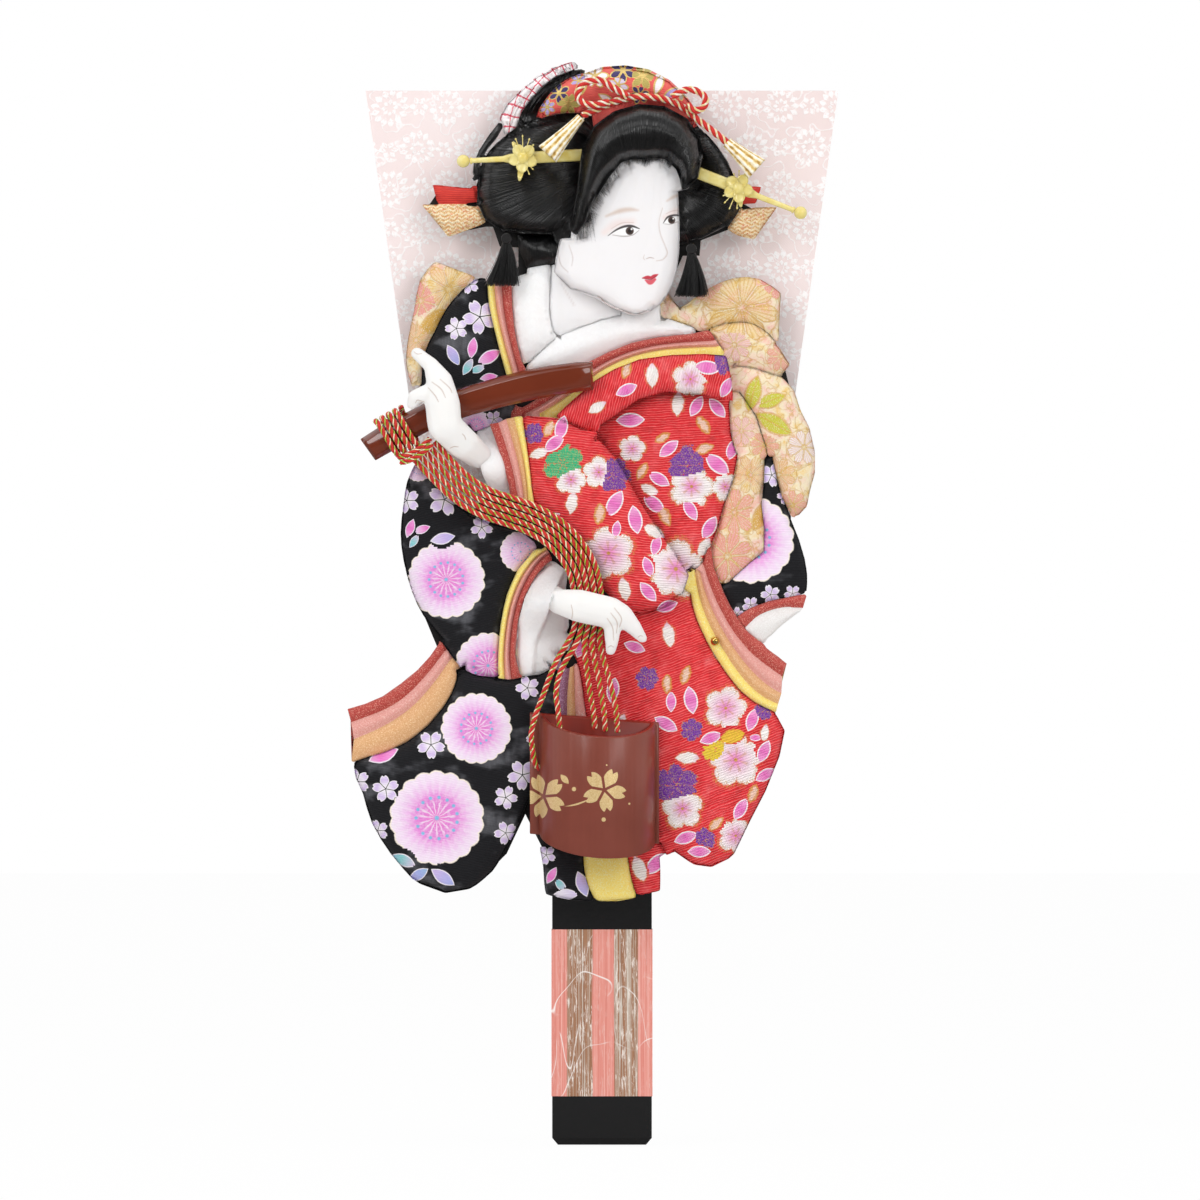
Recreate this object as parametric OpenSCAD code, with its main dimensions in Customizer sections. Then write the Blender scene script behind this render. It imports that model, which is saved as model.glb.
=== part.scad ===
// Decorative battledore: a paddle board whose blade carries a padded cloth picture
// of a kimono figure with a carrying pole and a bucket. Millimetres, handle down, front to -Y.

/* [Board] */
// Height of the board from the handle's end to the top edge
board_h = 455; // [350:1:600]
// Half width of the blade along its top edge
blade_half = 102; // [80:0.5:130]
// How much each blade edge draws in per millimetre of height
blade_taper = 0.143; // [0.1:0.001:0.2]
// Thickness of the board
board_t = 12; // [8:0.5:18]
// Height at which the blade's shoulders meet the handle
shoulder_h = 160; // [150:1:170]
// Width of the finished handle
handle_w = 43; // [36:0.5:50]
// Height to which the handle is wrapped
wrap_h = 112; // [108:1:118]
// Thickness of the lacquered wrapping
wrap_t = 0.5; // [0.3:0.1:1]
// Height of the bevel round the handle's end
end_bevel = 3; // [1:0.5:5]
// Lower edge of the striped paper band
band_low = 21; // [10:1:40]
// Upper edge of the striped paper band
band_high = 93; // [60:1:104]
// Thickness of the striped paper band
band_t = 0.3; // [0.2:0.1:0.6]
// Thickness of the damask cloth on the blade
cloth_t = 0.8; // [0.5:0.1:1.5]

/* [Figure] */
// Depth of the wooden cleat that holds the figure off the board
cleat_t = 9; // [6:0.5:14]
// Thickness of the card behind the pads
card_t = 1.5; // [1:0.1:3]
// Depth of the kimono skirt pads
skirt_t = 10; // [7:0.5:12]
// Depth of the upper body pads
body_t = 8; // [6:0.5:8.6]
// Depth of the gold bow and sash pads
bow_t = 6; // [4:0.5:7]
// Depth of the layered hem and collar bands
hem_t = 6; // [4:0.5:8]
// Depth of the red sleeve and shoulder flap, which lie over the body
sleeve_t = 9; // [6:0.5:10]
// Depth of the face
face_t = 11; // [8:0.5:14]
// Depth of the front hair roll
roll_t = 10; // [8:0.5:13]

/* [Pole, cords and bucket] */
// Depth of the carrying pole
pole_t = 6; // [4:0.5:8]
// Diameter of the twisted cord
cord_d = 2.5; // [2:0.1:2.6]
// Turns of cord wound on the pole
winding_turns = 4; // [2:1:4]
// Advance of the winding along the pole for each turn
winding_pitch = 3.1; // [3:0.1:3.4]
// Radius of the bucket's round front
bucket_r = 25; // [20:0.5:25]
// Wall of the bucket
bucket_wall = 2; // [1.2:0.1:3]
// Height of the bucket between its slanted rim and floor
bucket_h = 49; // [40:1:52]
// Slant of the bucket's rim and floor towards the viewer, in degrees
bucket_tilt = 18.5; // [0:0.5:25]

/* [Hair ornaments] */
// Width of the flat bar of a hairpin
pin_w = 4.6; // [3:0.1:5]
// Depth of the flat bar of a hairpin
pin_t = 1.8; // [1.2:0.1:2]
// Radius of the ball on a hairpin
pin_ball_r = 2.8; // [2:0.1:3.5]
// Radius of the pegs that the hanging tufts swing on
peg_r = 1; // [0.8:0.1:1.3]

/* [Hidden] */

$fn = 48;

// Layers, measured from the board's middle towards the viewer
board_front = board_t / 2;
card_back = board_front + cloth_t + cleat_t;
card_front = card_back + card_t;
over_body = card_front + 9.3;
face_back = card_front + 6.3;
roll_back = card_front + 13.5;
pin_back = roll_back - pin_t - 0.4;
pole_back = card_front + 15.1;
pole_mid = pole_back + pole_t / 2;
cord_r = cord_d / 2;

// Clearance of the board's core inside its wrapping
core_gap = 0.1;
// Share of a pad's depth taken by its upright edge
pad_edge = 0.45;
// Distance that a pad's underside is drawn in from its edge
pad_tuck = 0.6;
// Largest share of a narrow pad's width that is drawn in at each side
tuck_limit = 0.12;
// Width above which a pad gets the finer cross-section
wide_pad = 14;

wood = [0.86, 0.72, 0.52];
pink_damask = [0.96, 0.88, 0.88];
lacquer_black = [0.05, 0.05, 0.06];
striped_paper = [0.78, 0.45, 0.38];
card_grey = [0.80, 0.76, 0.70];
gold_brocade = [0.87, 0.72, 0.45];
black_crepe = [0.09, 0.09, 0.10];
red_crepe = [0.82, 0.10, 0.12];
band_red = [0.76, 0.16, 0.17];
band_gold = [0.88, 0.78, 0.36];
white_silk = [0.95, 0.95, 0.95];
skin_silk = [0.96, 0.95, 0.94];
hair_black = [0.04, 0.04, 0.04];
red_print = [0.95, 0.38, 0.36];
dotted_white = [0.97, 0.90, 0.92];
cord_red = [0.85, 0.22, 0.18];
paper_gold = [0.90, 0.80, 0.58];
lacquer_brown = [0.42, 0.16, 0.10];
pin_yellow = [0.93, 0.82, 0.42];
brass_nail = [0.80, 0.66, 0.30];

// The picture is drawn upright in X and Y with Z towards the viewer, then turned to stand
module stand() {
    rotate([90, 0, 0]) children();
}

function unit(v) = v / norm(v);

// Smooth curve through hand-placed points; u counts the points from 0
function spot(p, u) =
    let (k = len(p) - 1, i = min(floor(u), k - 1), f = u - i)
    let (a = p[max(i - 1, 0)], b = p[i], c = p[i + 1], d = p[min(i + 2, k)])
    b + 0.5 * (c - a) * f + 0.5 * (2 * a - 5 * b + 4 * c - d) * f * f
      + 0.5 * (3 * b - a - 3 * c + d) * f * f * f;

function curve(p, n) = [for (i = [0:n]) spot(p, (len(p) - 1) * i / n)];

function arc(centre, r, from, to, n) =
    [for (i = [0:n]) let (a = from + (to - from) * i / n) centre + r * [cos(a), sin(a)]];

// A route moved sideways within the picture's plane
function beside(p, d) = [
    for (i = [0:len(p) - 1])
        let (h = unit(p[min(i + 1, len(p) - 1)] - p[max(i - 1, 0)]))
        p[i] + d * [-h[1], h[0], 0]
];

// Closed solid from a grid of surface points down to a flat underside
module slab(grid, base) {
    n = len(grid) - 1;
    across = grid[0][len(grid[0]) - 1] - grid[0][0];
    ahead = grid[n][0] - grid[0][0];
    turned = across[0] * ahead[1] - across[1] * ahead[0] > 0;
    g = turned ? [for (r = grid) [for (j = [len(r) - 1:-1:0]) r[j]]] : grid;
    m = len(g[0]) - 1;
    under = [for (r = g)
        let (w = [r[m][0], r[m][1]] - [r[0][0], r[0][1]], t = min(pad_tuck / norm(w), tuck_limit))
        [for (q = r)
            let (s = [q[0], q[1]] - [r[0][0], r[0][1]], f = norm(s) / norm(w))
            [q[0] + w[0] * t * (1 - 2 * f), q[1] + w[1] * t * (1 - 2 * f), base]]];
    top = [for (r = g, q = r) q];
    low = concat(under[0], [for (i = [1:n - 1], j = [0, m]) under[i][j]], under[n]);
    first = len(top);
    last = first + m + 1 + 2 * (n - 1);
    function t(i, j) = i * (m + 1) + j;
    function l(i) = i == 0 ? first : i == n ? last : first + m + 1 + 2 * (i - 1);
    function r(i) = i == 0 ? first + m : i == n ? last + m : first + m + 2 + 2 * (i - 1);
    faces = concat(
        [for (i = [0:n - 1], j = [0:m - 1]) [t(i, j), t(i, j + 1), t(i + 1, j + 1)]],
        [for (i = [0:n - 1], j = [0:m - 1]) [t(i, j), t(i + 1, j + 1), t(i + 1, j)]],
        [for (i = [0:n - 1]) [t(i, 0), t(i + 1, 0), l(i + 1)]],
        [for (i = [0:n - 1]) [t(i, 0), l(i + 1), l(i)]],
        [for (i = [0:n - 1]) [t(i + 1, m), t(i, m), r(i)]],
        [for (i = [0:n - 1]) [t(i + 1, m), r(i), r(i + 1)]],
        [for (j = [0:m - 1]) [t(0, j + 1), t(0, j), first + j]],
        [for (j = [0:m - 1]) [t(0, j + 1), first + j, first + j + 1]],
        [for (j = [0:m - 1]) [t(n, j), t(n, j + 1), last + j + 1]],
        [for (j = [0:m - 1]) [t(n, j), last + j + 1, last + j]],
        [for (j = [0:m - 1]) [l(1), first + j + 1, first + j]],
        [[l(1), r(1), first + m]],
        [for (j = [0:m - 1]) [l(n - 1), last + j, last + j + 1]],
        [[l(n - 1), last + m, r(n - 1)]],
        n < 3 ? [] : [for (i = [1:n - 2]) [l(i), l(i + 1), r(i + 1)]],
        n < 3 ? [] : [for (i = [1:n - 2]) [l(i), r(i + 1), r(i)]]
    );
    polyhedron(concat(top, low), faces);
}

// Places along a strip: close together at its two ends, where the surface rolls over
function stations(spans, fine) =
    concat([0, 0.2], [for (i = [1:fine * spans - 1]) i / fine], [spans - 0.2, spans]);

function end_rise(u, spans) = let (d = min(1, u, spans - u)) pow(1 - pow(1 - d, 2.5), 0.6);

// Crowned pad between two edges; swell bows its two ends outwards
module pad(one, two, base, depth, fine = 1, swell = [0, 0]) {
    spans = len(one) - 1;
    middle = floor(spans / 2);
    wide = norm(two[middle] - one[middle]) > wide_pad;
    across = wide ? [0, 0.12, 0.5, 0.88, 1] : [0, 0.5, 1];
    rise = wide ? [0, 0.66, 1, 0.66, 0] : [0, 1, 0];
    out_a = unit(one[0] + two[0] - one[1] - two[1]);
    out_b = unit(one[spans] + two[spans] - one[spans - 1] - two[spans - 1]);
    grid = [for (u = stations(spans, fine))
        let (p = spot(one, u), q = spot(two, u), e = end_rise(u, spans))
        let (bow = swell[0] * max(0, 1 - u) * out_a + swell[1] * max(0, 1 - spans + u) * out_b)
        [for (j = [0:len(across) - 1])
            let (s = across[j], at = p + s * (q - p) + 4 * s * (1 - s) * bow)
            [at[0], at[1], base + depth * (pad_edge + (1 - pad_edge) * rise[j] * e)]]];
    slab(grid, base);
}

// Strips of cloth side by side, each crowned, between edges that they share
module bands(edges, base, depth, fine = 1) {
    spans = len(edges[0]) - 1;
    valley = 0.55;
    grid = [for (u = stations(spans, fine))
        let (p = [for (c = edges) spot(c, u)], high = base + depth * (0.75 + 0.25 * end_rise(u, spans)))
        [for (j = [0:2 * len(edges) - 2])
            let (at = j % 2 == 0 ? p[j / 2] : (p[(j - 1) / 2] + p[(j + 1) / 2]) / 2)
            [at[0], at[1], j % 2 == 0 ? base + depth * valley : high]]];
    slab(grid, base);
}

// Round tube along a route; aside is a direction that the route never runs along
module tube(route, r, sides = 8, aside = [0, 0, 1]) {
    n = len(route) - 1;
    rings = [for (i = [0:n], s = [0:sides - 1])
        let (t = unit(route[min(i + 1, n)] - route[max(i - 1, 0)]))
        let (v = unit(cross(t, aside)), w = cross(t, v), a = 360 * s / sides)
        route[i] + r * (cos(a) * v + sin(a) * w)];
    walls = [for (i = [0:n - 1], s = [0:sides - 1])
        let (a = i * sides + s, b = i * sides + (s + 1) % sides)
        each [[a, a + sides, b + sides], [a, b + sides, b]]];
    caps = [[for (s = [0:sides - 1]) s], [for (s = [sides - 1:-1:0]) n * sides + s]];
    polyhedron(rings, concat(walls, caps));
}

// Flattened ball, the building stone of the padded hands
module ball(at, r) {
    flat = 0.55;
    translate(at) scale([1, 1, flat]) sphere(r, $fn = 12);
}

module limb(at, r, to, s) {
    hull() {
        ball(at, r);
        ball(to, s);
    }
}

function blade_at(h) = blade_half - blade_taper * (board_h - h);

// Outline of the blade's right side from the handle up to the top corner
function blade_side() =
    let (fillet = 8, round = 26, neck = handle_w / 2)
    concat(
        arc([neck + fillet, shoulder_h - fillet], fillet, 180, 90, 6),
        arc([blade_at(shoulder_h + round) - round, shoulder_h + round], round, -90, -8, 8),
        [[blade_half, board_h]]
    );

module blade_outline() {
    side = blade_side();
    polygon(concat(side, [for (i = [len(side) - 1:-1:0]) [-side[i][0], side[i][1]]]));
}

module board() {
    core_w = handle_w - 2 * (wrap_t + core_gap);
    core_t = board_t - 2 * (wrap_t + core_gap);
    core_end = end_bevel + core_gap;
    color(wood) stand() {
        translate([0, 0, -board_t / 2]) linear_extrude(board_t) blade_outline();
        translate([-core_w / 2, core_end, -core_t / 2]) cube([core_w, shoulder_h - core_end, core_t]);
    }
}

module blade_cloth() {
    color(pink_damask) stand()
        translate([0, 0, board_front]) linear_extrude(cloth_t) blade_outline();
}

// Lacquered sleeve round the handle with a bevelled closed end
module handle_wrap() {
    inner_w = handle_w - 2 * wrap_t;
    inner_t = board_t - 2 * wrap_t;
    x = handle_w / 2;
    z = board_t / 2;
    bx = x - 2.5;
    bz = z - 1.5;
    color(lacquer_black) stand() difference() {
        union() {
            translate([-x, end_bevel, -z]) cube([handle_w, wrap_h - end_bevel, board_t]);
            polyhedron(
                [[-bx, 0, -bz], [bx, 0, -bz], [bx, 0, bz], [-bx, 0, bz],
                 [-x, end_bevel, -z], [x, end_bevel, -z], [x, end_bevel, z], [-x, end_bevel, z]],
                [[0, 3, 2, 1], [4, 5, 6, 7], [0, 1, 5, 4], [1, 2, 6, 5], [2, 3, 7, 6], [3, 0, 4, 7]]);
        }
        translate([-inner_w / 2, end_bevel, -inner_t / 2]) cube([inner_w, wrap_h, inner_t]);
    }
}

module handle_band() {
    w = handle_w + 2 * band_t;
    t = board_t + band_t;
    color(striped_paper) stand() difference() {
        translate([-w / 2, band_low, -board_t / 2]) cube([w, band_high - band_low, t]);
        translate([-handle_w / 2, band_low - 1, -board_t / 2 - 1])
            cube([handle_w, band_high - band_low + 2, board_t + 1]);
    }
}

// Wooden cleat with three arms, glued between the board and the figure's card
module cleat() {
    color(wood) stand() translate([0, 0, board_front + cloth_t]) {
        translate([-10, 190, 0]) cube([20, 245, cleat_t]);
        translate([-35, 390, 0]) cube([70, 20, cleat_t]);
        translate([-45, 280, 0]) cube([90, 20, cleat_t]);
        translate([-40, 195, 0]) cube([80, 20, cleat_t]);
    }
}

// Places of the pegs that the hair tufts hang from
peg_left = [-41, 390.5];
peg_right = [38.4, 386];
tuft_mid = card_front + 12.3;
tuft_half = 2;

// Card cut to the figure's outline, with the block under the front hair and the tufts' pegs
module figure_card() {
    outline = [
        [-40, 437], [-30, 450], [-18, 459], [0, 462], [18, 461], [31, 454], [38, 444], [48, 430],
        [55, 418], [57, 408], [66, 403], [63, 393], [55, 395], [42.5, 390], [42, 383.5], [34.8, 383.5],
        [31.5, 376], [28, 366], [24, 360], [29, 356], [36, 361], [46, 367.5], [57, 372], [67, 371.5],
        [74.5, 366], [73.5, 348], [78, 338], [80.5, 328], [83.5, 316], [87.5, 308], [89.5, 298],
        [89.5, 290], [87, 282], [86, 276], [83.5, 273], [80, 275], [83, 263], [86, 251], [86.5, 241],
        [84, 234], [76, 225], [70, 219.5], [64, 221], [70, 213], [77, 208], [75.5, 199], [74, 189],
        [76.5, 180], [74.5, 168], [68.5, 153], [62, 141], [55, 127.5], [47, 122.5], [38, 125],
        [27, 132], [24, 128], [23.5, 112], [14, 109.5], [-2, 108], [-22.5, 110.5], [-25, 127],
        [-33, 143], [-41, 126], [-50, 117], [-60, 112], [-70, 112], [-80, 116.5], [-89, 127],
        [-97, 140], [-101, 153], [-105, 165], [-106, 186], [-92, 193], [-78, 204], [-71, 215],
        [-76, 227], [-81.5, 240], [-84, 253], [-85, 264], [-83.5, 277], [-80, 290], [-76, 287.5],
        [-66, 279.5], [-56, 273], [-49, 283], [-53, 296], [-53.5, 303], [-60, 310], [-75, 318.5],
        [-76.5, 327], [-80.5, 328], [-83, 338], [-82, 349], [-79.5, 361], [-77, 372], [-71, 379],
        [-57, 373], [-51, 372.5], [-40, 372.5], [-36, 379], [-36, 387], [-44, 387.5], [-47, 396],
        [-50, 396], [-65, 393], [-75, 404.5], [-70, 412], [-55, 411], [-52, 420], [-47, 428.5]
    ];
    block = [
        [2, 428], [6, 436], [14, 441], [24, 441], [31, 437], [34, 430], [30, 428], [24, 429],
        [12, 429], [6, 426]
    ];
    peg_head = 1.2;
    peg_top = tuft_mid + tuft_half + 0.3;
    color(card_grey) stand() {
        translate([0, 0, card_back]) linear_extrude(card_t) polygon(outline);
        translate([0, 0, card_back]) linear_extrude(roll_back - card_back) polygon(block);
        for (at = [peg_left, peg_right]) {
            translate([at[0], at[1], card_back]) cylinder(h = peg_top - card_back + peg_head, r = peg_r);
            translate([at[0], at[1], peg_top]) cylinder(h = peg_head, r = 2 * peg_r);
        }
    }
}

// Gold brocade bow behind the shoulders
module bow_left() {
    outer = [[-72, 381], [-78.5, 373], [-81, 360], [-83.5, 348], [-84.5, 337], [-82, 327]];
    inner = [[-54.5, 374.5], [-61.5, 369], [-68, 361], [-72.8, 351], [-77, 342], [-78.5, 328]];
    color(gold_brocade) stand() pad(outer, inner, card_front, bow_t, 2);
}

module bow_right_top() {
    crest = [[27.5, 357.8], [36, 362.5], [46, 369.5], [57, 374], [68, 373.5], [77, 367.5]];
    crease = [[41, 352.3], [47, 353], [53, 354.8], [60, 355.4], [66, 354.3], [76, 346.5]];
    color(gold_brocade) stand() pad(crease, crest, card_front, bow_t, 2);
}

module bow_right_mid() {
    crest = [[47, 351.8], [53, 353.8], [60, 354.4], [66, 353.3], [71, 350.3], [77, 343], [81, 336.5]];
    crease = [[56.5, 337], [59.5, 336.4], [63, 336], [66.5, 335.3], [69.5, 334], [73, 332.5],
              [77, 331.8]];
    color(gold_brocade) stand() pad(crease, crest, card_front, bow_t);
}

module bow_tail() {
    inner = [[56.5, 335.3], [58.5, 327], [62.5, 321.5], [66.5, 315], [70, 306], [73.8, 297],
             [75.6, 288], [78, 279.5], [82, 271.3]];
    outer = [[78, 330.6], [82.8, 325.5], [85.5, 317], [89.5, 309], [91.8, 299], [91.8, 290],
             [89.6, 282], [88.3, 275.5], [84.5, 271.5]];
    color(gold_brocade) stand() pad(inner, outer, card_front, bow_t, 1, [1.2, 0]);
}

// Sash body showing between the red robe and the bow's tail
module sash() {
    inner = [[55.5, 319.5], [56, 308], [59, 297.5], [57, 287], [53, 276], [50.5, 267],
             [48, 258.5], [48.5, 250], [51.5, 242.5]];
    outer = [[58, 325], [66, 314], [69.2, 301], [69.4, 288], [68.2, 276], [69.5, 265],
             [69.2, 256.5], [62.5, 251], [55, 244]];
    color(gold_brocade) stand() pad(inner, outer, card_front, bow_t - 1);
}

module back_sleeve() {
    inner = [[70.8, 296], [70.2, 288], [69.2, 276], [70.4, 265], [70.2, 256], [63.5, 250.2],
             [56, 243.7], [52.8, 239.5], [57.5, 229.2]];
    outer = [[72.6, 297], [74.6, 288], [76.8, 280], [81, 271], [85, 261], [87.5, 252.5],
             [88.5, 246], [88.5, 242], [88.2, 239]];
    color(black_crepe) stand() pad(inner, outer, card_front, bow_t, 1, [0, -1.8]);
}

// Red rim and white lining at the mouth of the back sleeve
module back_cuff() {
    rim = [[59.3, 227.2], [64, 231.3], [72, 234], [80, 235.3], [88, 236.8]];
    seam = [[62.3, 223.8], [66.5, 228], [73, 230.8], [80, 232], [86.5, 231.8]];
    lining = [[63.3, 221.8], [66.5, 218.8], [70, 217.6], [77, 224], [85, 230.2]];
    color(band_red) stand() bands([rim, seam, lining], card_front, hem_t - 1, 2);
}

// Layered hem sweeping out on the right: gold, tan, pink and red
module hem_right() {
    edges = [
        [[38.5, 246], [39.5, 236], [42, 226], [47, 215], [53, 205.5], [59, 197.5], [65, 192],
         [70, 189.3], [75, 187.3]],
        [[40, 247], [41.5, 237.5], [44.5, 228], [49.5, 218], [55.5, 208.5], [61.5, 200.5], [67, 195],
         [71.5, 192.3], [75.8, 190.5]],
        [[42, 248], [44, 239.5], [47.5, 230.5], [52.5, 221], [58, 212.5], [64, 205], [69.5, 199.8],
         [73.5, 197], [77.2, 195]],
        [[43.7, 251], [45.8, 243], [49.5, 234], [54, 225.5], [59, 218], [65, 211.5], [70.5, 207.3],
         [74, 204.8], [77.6, 202.3]],
        [[46, 258], [47.6, 249.5], [51.5, 238.5], [57, 228.5], [61.5, 222], [67, 217.6], [72, 213.6],
         [76, 210.7], [79.5, 207.8]]
    ];
    color(band_gold) stand() bands(edges, card_front, hem_t);
}

// Layered hem sweeping out on the left: red, pink and tan
module hem_left() {
    edges = [
        [[-70, 216.8], [-74, 211], [-79.5, 205], [-86.5, 199.3], [-94.3, 193.8], [-102, 190.5],
         [-109.5, 188.3]],
        [[-67.8, 213.4], [-71.5, 207.8], [-77, 201.4], [-83.3, 194.5], [-91, 189], [-99, 185.8],
         [-108, 182.6]],
        [[-65.5, 209.8], [-69, 204], [-74, 197.5], [-80.2, 190.3], [-88, 184.2], [-97, 179.3],
         [-106.8, 175.3]],
        [[-62.6, 205.8], [-64.5, 198], [-68.7, 190.2], [-75.5, 182], [-84.5, 174.6], [-95, 169.9],
         [-107.8, 166]]
    ];
    color(band_red) stand() bands(edges, card_front, hem_t);
}

// Brass nail through the right hem into the card
module nail() {
    at = [48.6, 217.5];
    head_r = 1.9;
    head_z = card_front + hem_t;
    color(brass_nail) stand() translate([at[0], at[1], 0]) {
        translate([0, 0, card_front]) cylinder(h = hem_t + 0.2, r = 0.6);
        intersection() {
            translate([0, 0, head_z - 0.4]) sphere(head_r);
            translate([-3, -3, head_z - 0.2]) cube(6);
        }
    }
}

module black_skirt() {
    outer = [[-60.8, 203.5], [-64, 194], [-70, 185.5], [-79, 176.3], [-93, 169], [-107, 164.5],
             [-103, 152], [-99, 139], [-91, 126], [-82, 115.5]];
    inner = [[-18.5, 203], [-20.5, 195], [-20.5, 186], [-22, 172], [-27, 158], [-32.5, 147],
             [-37, 136], [-43, 125], [-47, 118.5], [-54, 112.5]];
    color(black_crepe) stand() pad(outer, inner, card_front, skirt_t, 2, [-3, 5]);
}

module red_skirt() {
    inner = [[-8.5, 217], [-12, 211], [-9.5, 206], [-8, 199], [-7, 192], [-5.5, 184], [-2, 176],
             [3, 168], [8, 160], [14, 150], [20, 140], [25, 132.5], [31, 127], [37.5, 122.5]];
    outer = [[37.2, 239], [37.5, 233], [39.5, 227.5], [43.5, 219], [48.5, 210.5], [54, 202], [60, 194.8],
             [67, 190], [75, 186], [78.8, 179], [76.5, 168], [70.5, 153], [64, 140.5], [57, 126]];
    color(red_crepe) stand() pad(inner, outer, card_front, skirt_t, 1, [0, 4]);
}

// Lower front panels below the bucket
module panel_red() {
    left = [[11, 129], [12.5, 117], [15.3, 108]];
    right = [[24.5, 129.5], [25.3, 120], [25.2, 110]];
    color(red_crepe) stand() pad(left, right, card_front, bow_t, 2);
}

module panel_gold() {
    left = [[-7.8, 129], [-7, 118], [-5, 111], [-2.3, 105.8]];
    right = [[10.2, 129], [11.6, 119], [13, 112.5], [14.6, 107.2]];
    color(band_gold) stand() pad(left, right, card_front, bow_t, 2, [0, 1]);
}

module panel_black() {
    left = [[-27, 129], [-25.5, 121], [-25, 113], [-24.3, 108.5]];
    right = [[-8.8, 129], [-8, 118], [-6, 111], [-3.3, 105.6]];
    color(black_crepe) stand() pad(left, right, card_front, bow_t, 2, [0, 1]);
}

// Mauve, tan and pink underlayers at the front opening
module inner_layers() {
    edges = [
        [[-16.8, 205], [-19, 196], [-19.2, 186], [-17, 178]],
        [[-13.8, 206], [-15, 196], [-15.2, 186], [-14, 178]],
        [[-12, 207], [-11.8, 196], [-11.5, 186], [-10.5, 178]],
        [[-10.6, 206.5], [-9, 196], [-8, 186], [-6.5, 179]]
    ];
    color(band_gold) stand() bands(edges, card_front, hem_t);
}

module black_shoulder() {
    outer = [[-52.5, 374], [-58.7, 368.7], [-66.2, 360], [-71.7, 350], [-75.8, 341], [-77.2, 330],
             [-77, 318]];
    inner = [[-49.8, 373.5], [-49.5, 366], [-47.5, 355.5], [-45, 345], [-42.3, 335], [-39.5, 326],
             [-38, 318.5]];
    color(black_crepe) stand() pad(outer, inner, card_front, body_t, 2, [0, 8]);
}

// Gold, pink and red collar edges on the left, running down behind the pole
module collar_left() {
    edges = [
        [[-48.8, 371.5], [-48.6, 364], [-46.8, 355], [-44.3, 345], [-41.6, 335], [-40, 329]],
        [[-46.3, 371.7], [-45.9, 363], [-44.1, 353.5], [-41.7, 344], [-39, 334.5], [-37.4, 329]],
        [[-43.2, 371.8], [-42.8, 362.5], [-41.1, 352.5], [-38.7, 343], [-36.3, 334.5], [-34.8, 329]],
        [[-39.8, 371], [-39, 362], [-38.2, 353], [-36.6, 344], [-34.2, 335], [-32.6, 329]]
    ];
    color(band_red) stand() bands(edges, card_front, body_t);
}

module collar_white_left() {
    left = [[-38, 374], [-38.3, 364], [-37.6, 354.5], [-36, 345], [-33.4, 336.5]];
    right = [[-22.3, 379], [-22.7, 371], [-23.2, 362], [-22.3, 354], [-21, 349]];
    color(white_silk) stand() pad(left, right, card_front, body_t - 0.5, 2);
}

module collar_white_right() {
    top = [[-31.5, 336], [-25, 342.3], [-18, 347.6], [-9, 352.3], [0, 355.7], [10, 357],
           [20, 356.5], [30, 355], [39, 352.3]];
    bottom = [[-30.5, 334], [-22, 334], [-14, 334.5], [-6.5, 338], [2, 342], [12, 346],
              [22, 348.4], [31, 349.5], [40, 350.6]];
    color(white_silk) stand() pad(bottom, top, card_front, body_t - 0.5);
}

// Red, pink and gold collar edges on the right, running down behind the pole
module collar_right() {
    edges = [
        [[-37, 316.5], [-29, 321], [-20, 327], [-12, 332.8], [-5, 337.2], [3, 341.5], [13, 345.5],
         [24, 347.8], [34, 348.9], [46.5, 349.8]],
        [[-34, 314.8], [-26, 319], [-18, 324.3], [-10.5, 329.8], [-3.5, 334.8], [4, 338.9],
         [13.5, 342.7], [24, 345], [34, 346], [48, 346.8]],
        [[-28, 314.8], [-21, 318.8], [-14.5, 323.2], [-8, 328], [-2.5, 332.7], [4.5, 336.8],
         [14, 340.6], [24, 342.8], [34, 343.8], [50, 344.1]],
        [[-21, 315.3], [-17, 318.8], [-12.8, 322.5], [-7.5, 327], [-2.3, 331.3], [5, 335.3],
         [14, 338.8], [24, 340.8], [34, 341.6], [52, 341.9]]
    ];
    color(band_red) stand() bands(edges, card_front, body_t);
}

module neck() {
    left = [[-21.3, 379], [-21.8, 371], [-22.3, 362], [-21.4, 354.5], [-19.5, 350]];
    right = [[-4, 379], [0, 372], [3, 366], [6, 361.5], [9, 359]];
    color(skin_silk) stand() pad(left, right, card_front, bow_t);
}

module face() {
    left = [[9, 422.3], [3.5, 415.8], [-0.5, 409.3], [-3.5, 404], [-6.5, 396.5], [-10.5, 391],
            [-18, 390.5],
            [-19.8, 383], [-20.8, 376], [-14, 369], [-3, 365], [5, 360.5], [12, 357.8]];
    right = [[27, 423.3], [31, 419.5], [32.6, 413], [33, 406], [33.3, 398], [33.4, 391], [33.2, 384],
             [32.3, 377], [30.6, 371], [28.3, 366.5], [25, 362], [21, 359.2], [16, 357.7]];
    color(skin_silk) stand() pad(left, right, face_back, face_t, 1, [0.8, 0]);
}

// Front roll of hair, arching over the forehead
module hair_front() {
    outer = [[-13.5, 393.5], [-12.5, 402], [-10.8, 411], [-10, 420], [-8.5, 430], [-3.5, 438.8],
             [5, 445],
             [16, 448.2], [27, 447.2], [36.5, 442], [42, 434.5], [43.3, 425.5], [41.5, 416.5],
             [36, 411.5]];
    inner = [[-11, 391.6], [-7.2, 396.7], [-4.3, 404.5], [-1.2, 410], [3, 416.5], [8.4, 423],
             [13.5, 424.6],
             [18, 424.3], [22.5, 424.9], [27.5, 424.3], [31.8, 420], [33.4, 415.5], [33.8, 413],
             [34.2, 411.2]];
    color(hair_black) stand() pad(outer, inner, roll_back, roll_t);
}

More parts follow.
